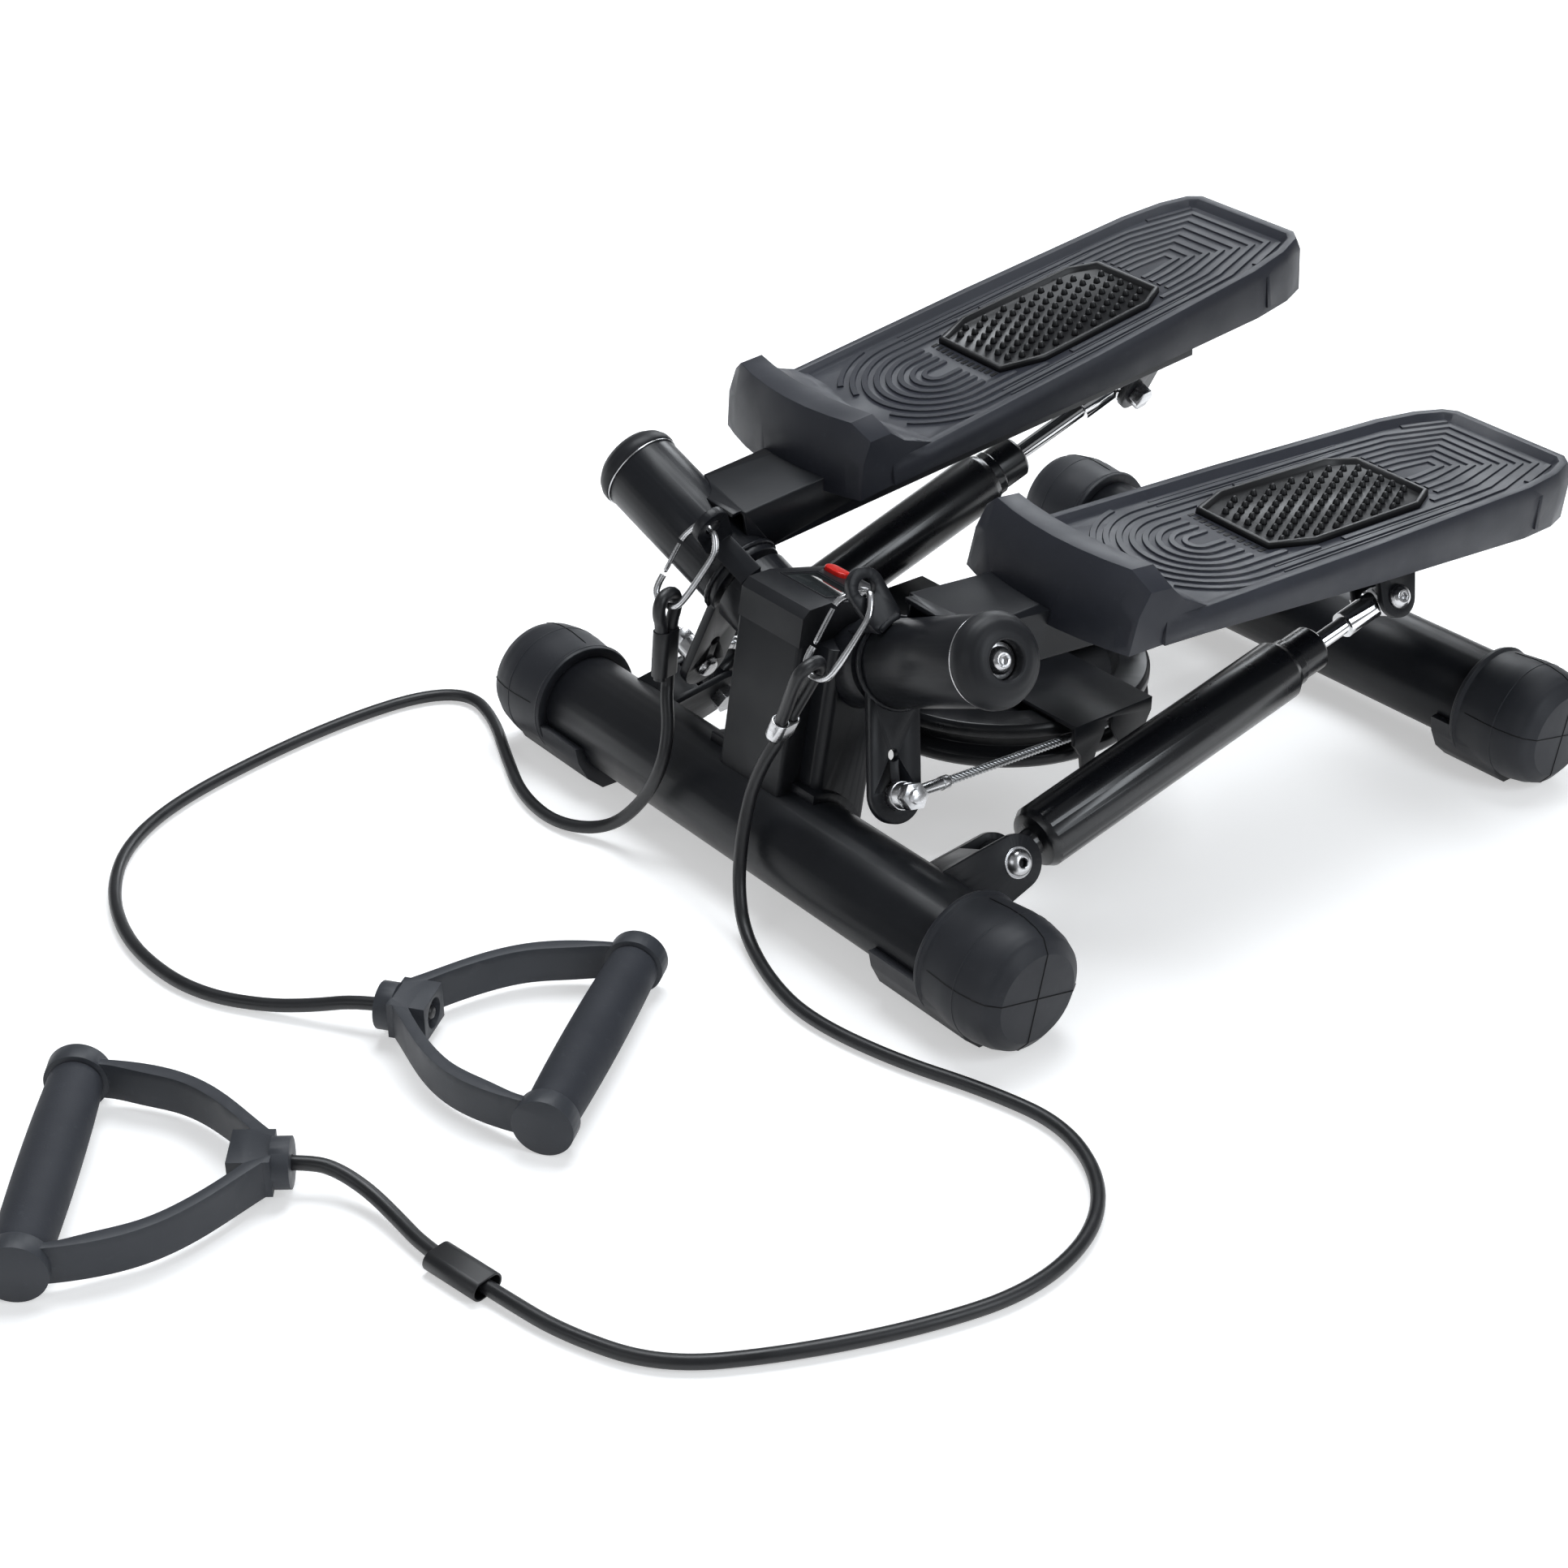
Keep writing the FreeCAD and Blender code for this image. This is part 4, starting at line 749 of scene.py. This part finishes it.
def knot(side):
    """Overhand knot of the band, drawn up in the pocket at the handle's tip."""
    boss, grip = HANDLES[side]
    ring_piece(side + "_band_knot", "band_rubber", "base", frame_matrix(boss, grip - boss, V((0, 0, 1))),
               [(3.6, 2.7, 9.0, 40, 12), (3.2, 2.8, 13.4, 40, 12), (1.5, 2.4, 16.6, 32, 12)])


for side_name in ("left", "right"):
    foot_bolt(side_name)
    knot(side_name)


# ---- carabiners and their wire gates ---------------------------------------------
WIRE_R, GATE_R, HOOK_W = 1.9, 0.75, 10.5
LUG_HOLE_R, LUG_REACH, LUG_AT = 5.0, 47.0, 75.0
LUG_LEAN = {"left": 22.0, "right": 35.0}
HOOKS = {"left": (V((60.0, -223.0, 153.0)), V((0.37, -1.22, 1.0))),
         "right": (V((-63.5, -225.0, 145.5)), V((0.5, -0.9, 0.7)))}


def tube_curve(name, points, radius, mat, body, replace):
    """Round rod along a smooth spline whose control points are given in mm."""
    cu = bpy.data.curves.new(name, "CURVE")
    cu.dimensions = "3D"
    sp = cu.splines.new("NURBS")
    sp.points.add(len(points) - 1)
    for p, q in zip(sp.points, points):
        p.co = (q.x * MM, q.y * MM, q.z * MM, 1.0)
    sp.order_u = 3
    sp.use_endpoint_u = True
    sp.resolution_u = 10
    cu.bevel_depth = radius * MM
    cu.bevel_resolution = 4
    cu.use_fill_caps = True
    cu.materials.append(MAT[mat])
    o = bpy.data.objects.new(name, cu)
    scene.collection.objects.link(o)
    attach(o, body)
    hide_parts(replace)


def carabiner(side):
    """Spring hook of round wire, pear outline, with a wire gate in its open side."""
    a = math.radians(LUG_LEAN[side])
    lug = PIVOT @ V((-LUG_REACH * math.sin(a), LUG_REACH * math.cos(a), -LUG_AT))
    u = V(PIVOT_DIR)
    if side == "right":
        lug.x, u.x = -lug.x, -u.x
    down = (u * u.z - V((0, 0, 1))).normalized()
    top = lug + down * (LUG_HOLE_R - WIRE_R - 0.15)
    low, flat = HOOKS[side]
    f = frame_matrix((top + low) * 0.5, flat, top - low)
    h, w = (top - low).length / 2, HOOK_W
    if (f.to_3x3() @ V((1, 0, 0))).dot(u) < 0:
        u = -u
    outline = [(-w * 0.86, -h + 13), (-w * 0.86, -h + 6), (-w * 0.55, -h + 1.0), (0, -h),
               (w * 0.55, -h + 1.0), (w * 0.86, -h + 6), (w, h - 15), (w * 0.95, h - 8)]
    pts = [f @ V((x, y, 0)) for x, y in outline]
    pts += [top + u * 5.2 + V((0, 0, 0.2)), top, top - u * 5.2 + V((0, 0, 0.2))]
    pts += [f @ V((x, y, 0)) for x, y in ((-w * 0.95, h - 8), (-w, h - 13))]
    tube_curve(side + "_carabiner_wire", pts, WIRE_R, "bright_steel", "base", side + "_carabiner")
    hinge, nose = V((-w * 0.99, h - 15.3, 0)), V((-w * 0.87, -h + 15.2, 0))
    bend = (nose - hinge).normalized() * 2.4
    gate = [hinge + V((0, 0, 1.0)), hinge + V((0, 0, 1.35)) + bend, nose + V((0, 0, 1.2)) - bend,
            nose + V((0, 0, 0.9)), nose - V((0, 0, 0.9)), nose - V((0, 0, 1.2)) - bend,
            hinge - V((0, 0, 1.35)) + bend, hinge - V((0, 0, 1.0))]
    tube_curve(side + "_gate_wire", [f @ q for q in gate], GATE_R, "bright_steel", side + "_gate",
               side + "_carabiner_gate")


for side_name in ("left", "right"):
    carabiner(side_name)


# ---- twisted cables between the pulley and the levers ----------------------------
CABLE_R, LAY = 2.5, 17.0
STRANDS = {"left": (V((82.0, -38.0, 68.5)), V((101.317, -193.202, 90.479))),
           "right": (V((-82.0, -38.0, 68.5)), V((-104.001, -179.109, 88.253)))}


def cable(side):
    """Six-strand wire rope."""
    start, hook = STRANDS[side]
    d = (hook - start).normalized()
    end = hook - d * 31.0
    n = int((end - start).length / 1.1)
    bm = bmesh.new()
    frame_at = frame_matrix(start, d, V((0, 0, 1)))
    secs = []
    for i in range(n + 1):
        z = (end - start).length * i / n
        turn = 2 * math.pi * z / LAY
        secs.append([V((r * math.cos(t + turn), r * math.sin(t + turn), z)) for t, r in
                     ((2 * math.pi * k / 36, CABLE_R * (0.80 + 0.20 * abs(math.cos(math.pi * k / 6.0))))
                      for k in range(36))])
    loft(bm, secs)
    bm.transform(to_m(frame_at))
    bm.normal_update()
    me = bpy.data.meshes.new(side + "_cable_rope")
    bm.to_mesh(me)
    bm.free()
    smooth(me)
    me.materials.append(MAT["steel_cable"])
    o = bpy.data.objects.new(side + "_cable_rope", me)
    scene.collection.objects.link(o)
    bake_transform(o)
    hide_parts(side + "_cable_strand")


for side_name in ("left", "right"):
    cable(side_name)


# ---- console trim ----------------------------------------------------------------
HEAD_FALL = math.tan(math.radians(14.0))
HEAD_TOP, HEAD_FLAT_Y = 168.0, -182.0


def head_frame(y):
    z = HEAD_TOP - max(0.0, y - HEAD_FLAT_Y) * HEAD_FALL
    return frame_matrix(V((0, y, z)), V((0, HEAD_FALL, 1)), V((0, 1, 0)))


def console_trim():
    bm = bmesh.new()
    rim = [V((x, y, 0)) for x, y in ((-18.6, -12.6), (18.6, -12.6), (18.6, 12.6), (-18.6, 12.6))]
    sweep(bm, dense(rim, 6.0), [(-0.7, -0.2), (0.7, -0.2), (0.45, 0.45), (-0.45, 0.45)], closed=True)
    add_mesh("display_bezel", bm, "moulded_cover", "base", matrix=to_m(head_frame(-168.0)), sm=False)
    bm = bmesh.new()
    for i in range(3):
        x = 7.0 + i * 4.6
        quad = [(x, -1.5), (x + 2.6, -1.5), (x + 3.7, 1.5), (x + 1.1, 1.5)]
        loft(bm, [[V((a, b, h)) for a, b in quad] for h in (-0.05, 0.12)])
    add_mesh("console_marks", bm, "mark", "base", matrix=to_m(head_frame(-145.5)), sm=False)


console_trim()


# ---- bands -----------------------------------------------------------------------
BANDS = {
    "left": [
        (0.0400, -0.2320, 0.1103), (0.0463, -0.2303, 0.1249), (0.0586, -0.2320, 0.1516),
        (0.0613, -0.2298, 0.1583), (0.0611, -0.2225, 0.1604), (0.0588, -0.2158, 0.1578),
        (0.0557, -0.2152, 0.1509), (0.0450, -0.2230, 0.1247), (0.0381, -0.2248, 0.1087),
        (0.0315, -0.2305, 0.0940), (0.0255, -0.2350, 0.0740), (0.0280, -0.2435, 0.0500),
        (0.0330, -0.2500, 0.0240), (0.0500, -0.2590, 0.0060), (0.0920, -0.2740, 0.0040),
        (0.1310, -0.2790, 0.0040), (0.1820, -0.2680, 0.0040), (0.2310, -0.2480, 0.0040),
        (0.2730, -0.2380, 0.0040), (0.3140, -0.2530, 0.0040), (0.3410, -0.2850, 0.0040),
        (0.3510, -0.3320, 0.0040), (0.3390, -0.3840, 0.0040), (0.3160, -0.4410, 0.0040),
        (0.2890, -0.4870, 0.0040), (0.2470, -0.5080, 0.0040), (0.2090, -0.5168, 0.0050),
        (0.1634, -0.5254, 0.0050), (0.1370, -0.5252, 0.0063), (0.1170, -0.5270, 0.0095),
        (0.1000, -0.5330, 0.0138), (0.0898, -0.5406, 0.0156), (0.0796, -0.5542, 0.0156),
    ],
    "right": [
        (-0.0595, -0.2321, 0.1035), (-0.0601, -0.2290, 0.1343), (-0.0587, -0.2326, 0.1436),
        (-0.0593, -0.2306, 0.1508), (-0.0617, -0.2236, 0.1526), (-0.0640, -0.2172, 0.1493),
        (-0.0643, -0.2166, 0.1418), (-0.0625, -0.2219, 0.1335), (-0.0619, -0.2251, 0.1012),
        (-0.0560, -0.2305, 0.0920), (-0.0490, -0.2345, 0.0790), (-0.0430, -0.2430, 0.0620),
        (-0.0560, -0.2475, 0.0340), (-0.0780, -0.2560, 0.0090), (-0.1060, -0.2720, 0.0040),
        (-0.1460, -0.2700, 0.0040), (-0.1900, -0.2520, 0.0040), (-0.2320, -0.2330, 0.0040),
        (-0.2680, -0.2260, 0.0040), (-0.2860, -0.2500, 0.0040), (-0.2880, -0.3000, 0.0040),
        (-0.2800, -0.3610, 0.0040), (-0.2630, -0.4300, 0.0040), (-0.2360, -0.4750, 0.0040),
        (-0.1960, -0.5030, 0.0040), (-0.1500, -0.5170, 0.0040), (-0.1070, -0.5165, 0.0040),
        (-0.0760, -0.5075, 0.0040), (-0.0500, -0.4895, 0.0046), (-0.0300, -0.4740, 0.0088),
        (-0.0095, -0.4569, 0.0156), (0.0065, -0.4450, 0.0156),
    ],
}


def band(side):
    pts = BANDS[side]
    cu = bpy.data.curves.new(side + "_band_cord", "CURVE")
    cu.dimensions = "3D"
    sp = cu.splines.new("NURBS")
    sp.points.add(len(pts) - 1)
    for p, q in zip(sp.points, pts):
        p.co = (*q, 1.0)
    sp.order_u = 3
    sp.use_endpoint_u = True
    sp.resolution_u = 14
    cu.bevel_depth = 0.0036
    cu.bevel_resolution = 5
    cu.use_fill_caps = True
    cu.materials.append(BAND_MAT)
    o = bpy.data.objects.new(side + "_band_cord", cu)
    scene.collection.objects.link(o)
    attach(o, "base")
    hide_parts(side + "_band")
    return o


def spline_length(points):
    """Length in metres of the smooth spline through a list of control points."""
    cu = bpy.data.curves.new("measure", "CURVE")
    cu.dimensions = "3D"
    sp = cu.splines.new("NURBS")
    sp.points.add(len(points) - 1)
    for p, q in zip(sp.points, points):
        p.co = (*q, 1.0)
    sp.order_u = 3
    sp.use_endpoint_u = True
    sp.resolution_u = 24
    o = bpy.data.objects.new("measure", cu)
    me = bpy.data.meshes.new_from_object(o)
    co = [v.co.copy() for v in me.vertices]
    bpy.data.objects.remove(o)
    bpy.data.meshes.remove(me)
    return sum((b - a).length for a, b in zip(co, co[1:]))


def band_material():
    g = Graph("band_ribbed")
    drift = g.noise(30.0, 4.0, 0.6)
    color = g.ramp(drift, [(0.3, (0.0075, 0.0078, 0.009)), (0.7, (0.0125, 0.013, 0.015))])
    fine = g.noise(900.0, 2.0, 0.5)
    rings = g.noise(2600.0, 1.0, 0.4)
    n = g.bump(fine, 0.05 * MM, 0.5)
    n = g.bump(rings, 0.04 * MM, 0.5, n)
    g.principled(color, g.remap(g.noise(60.0), 0.34, 0.46), n)
    return g.mat


BAND_MAT = band_material()
for side_name in ("left", "right"):
    cord = band(side_name)
    length = spline_length(BANDS[side_name])
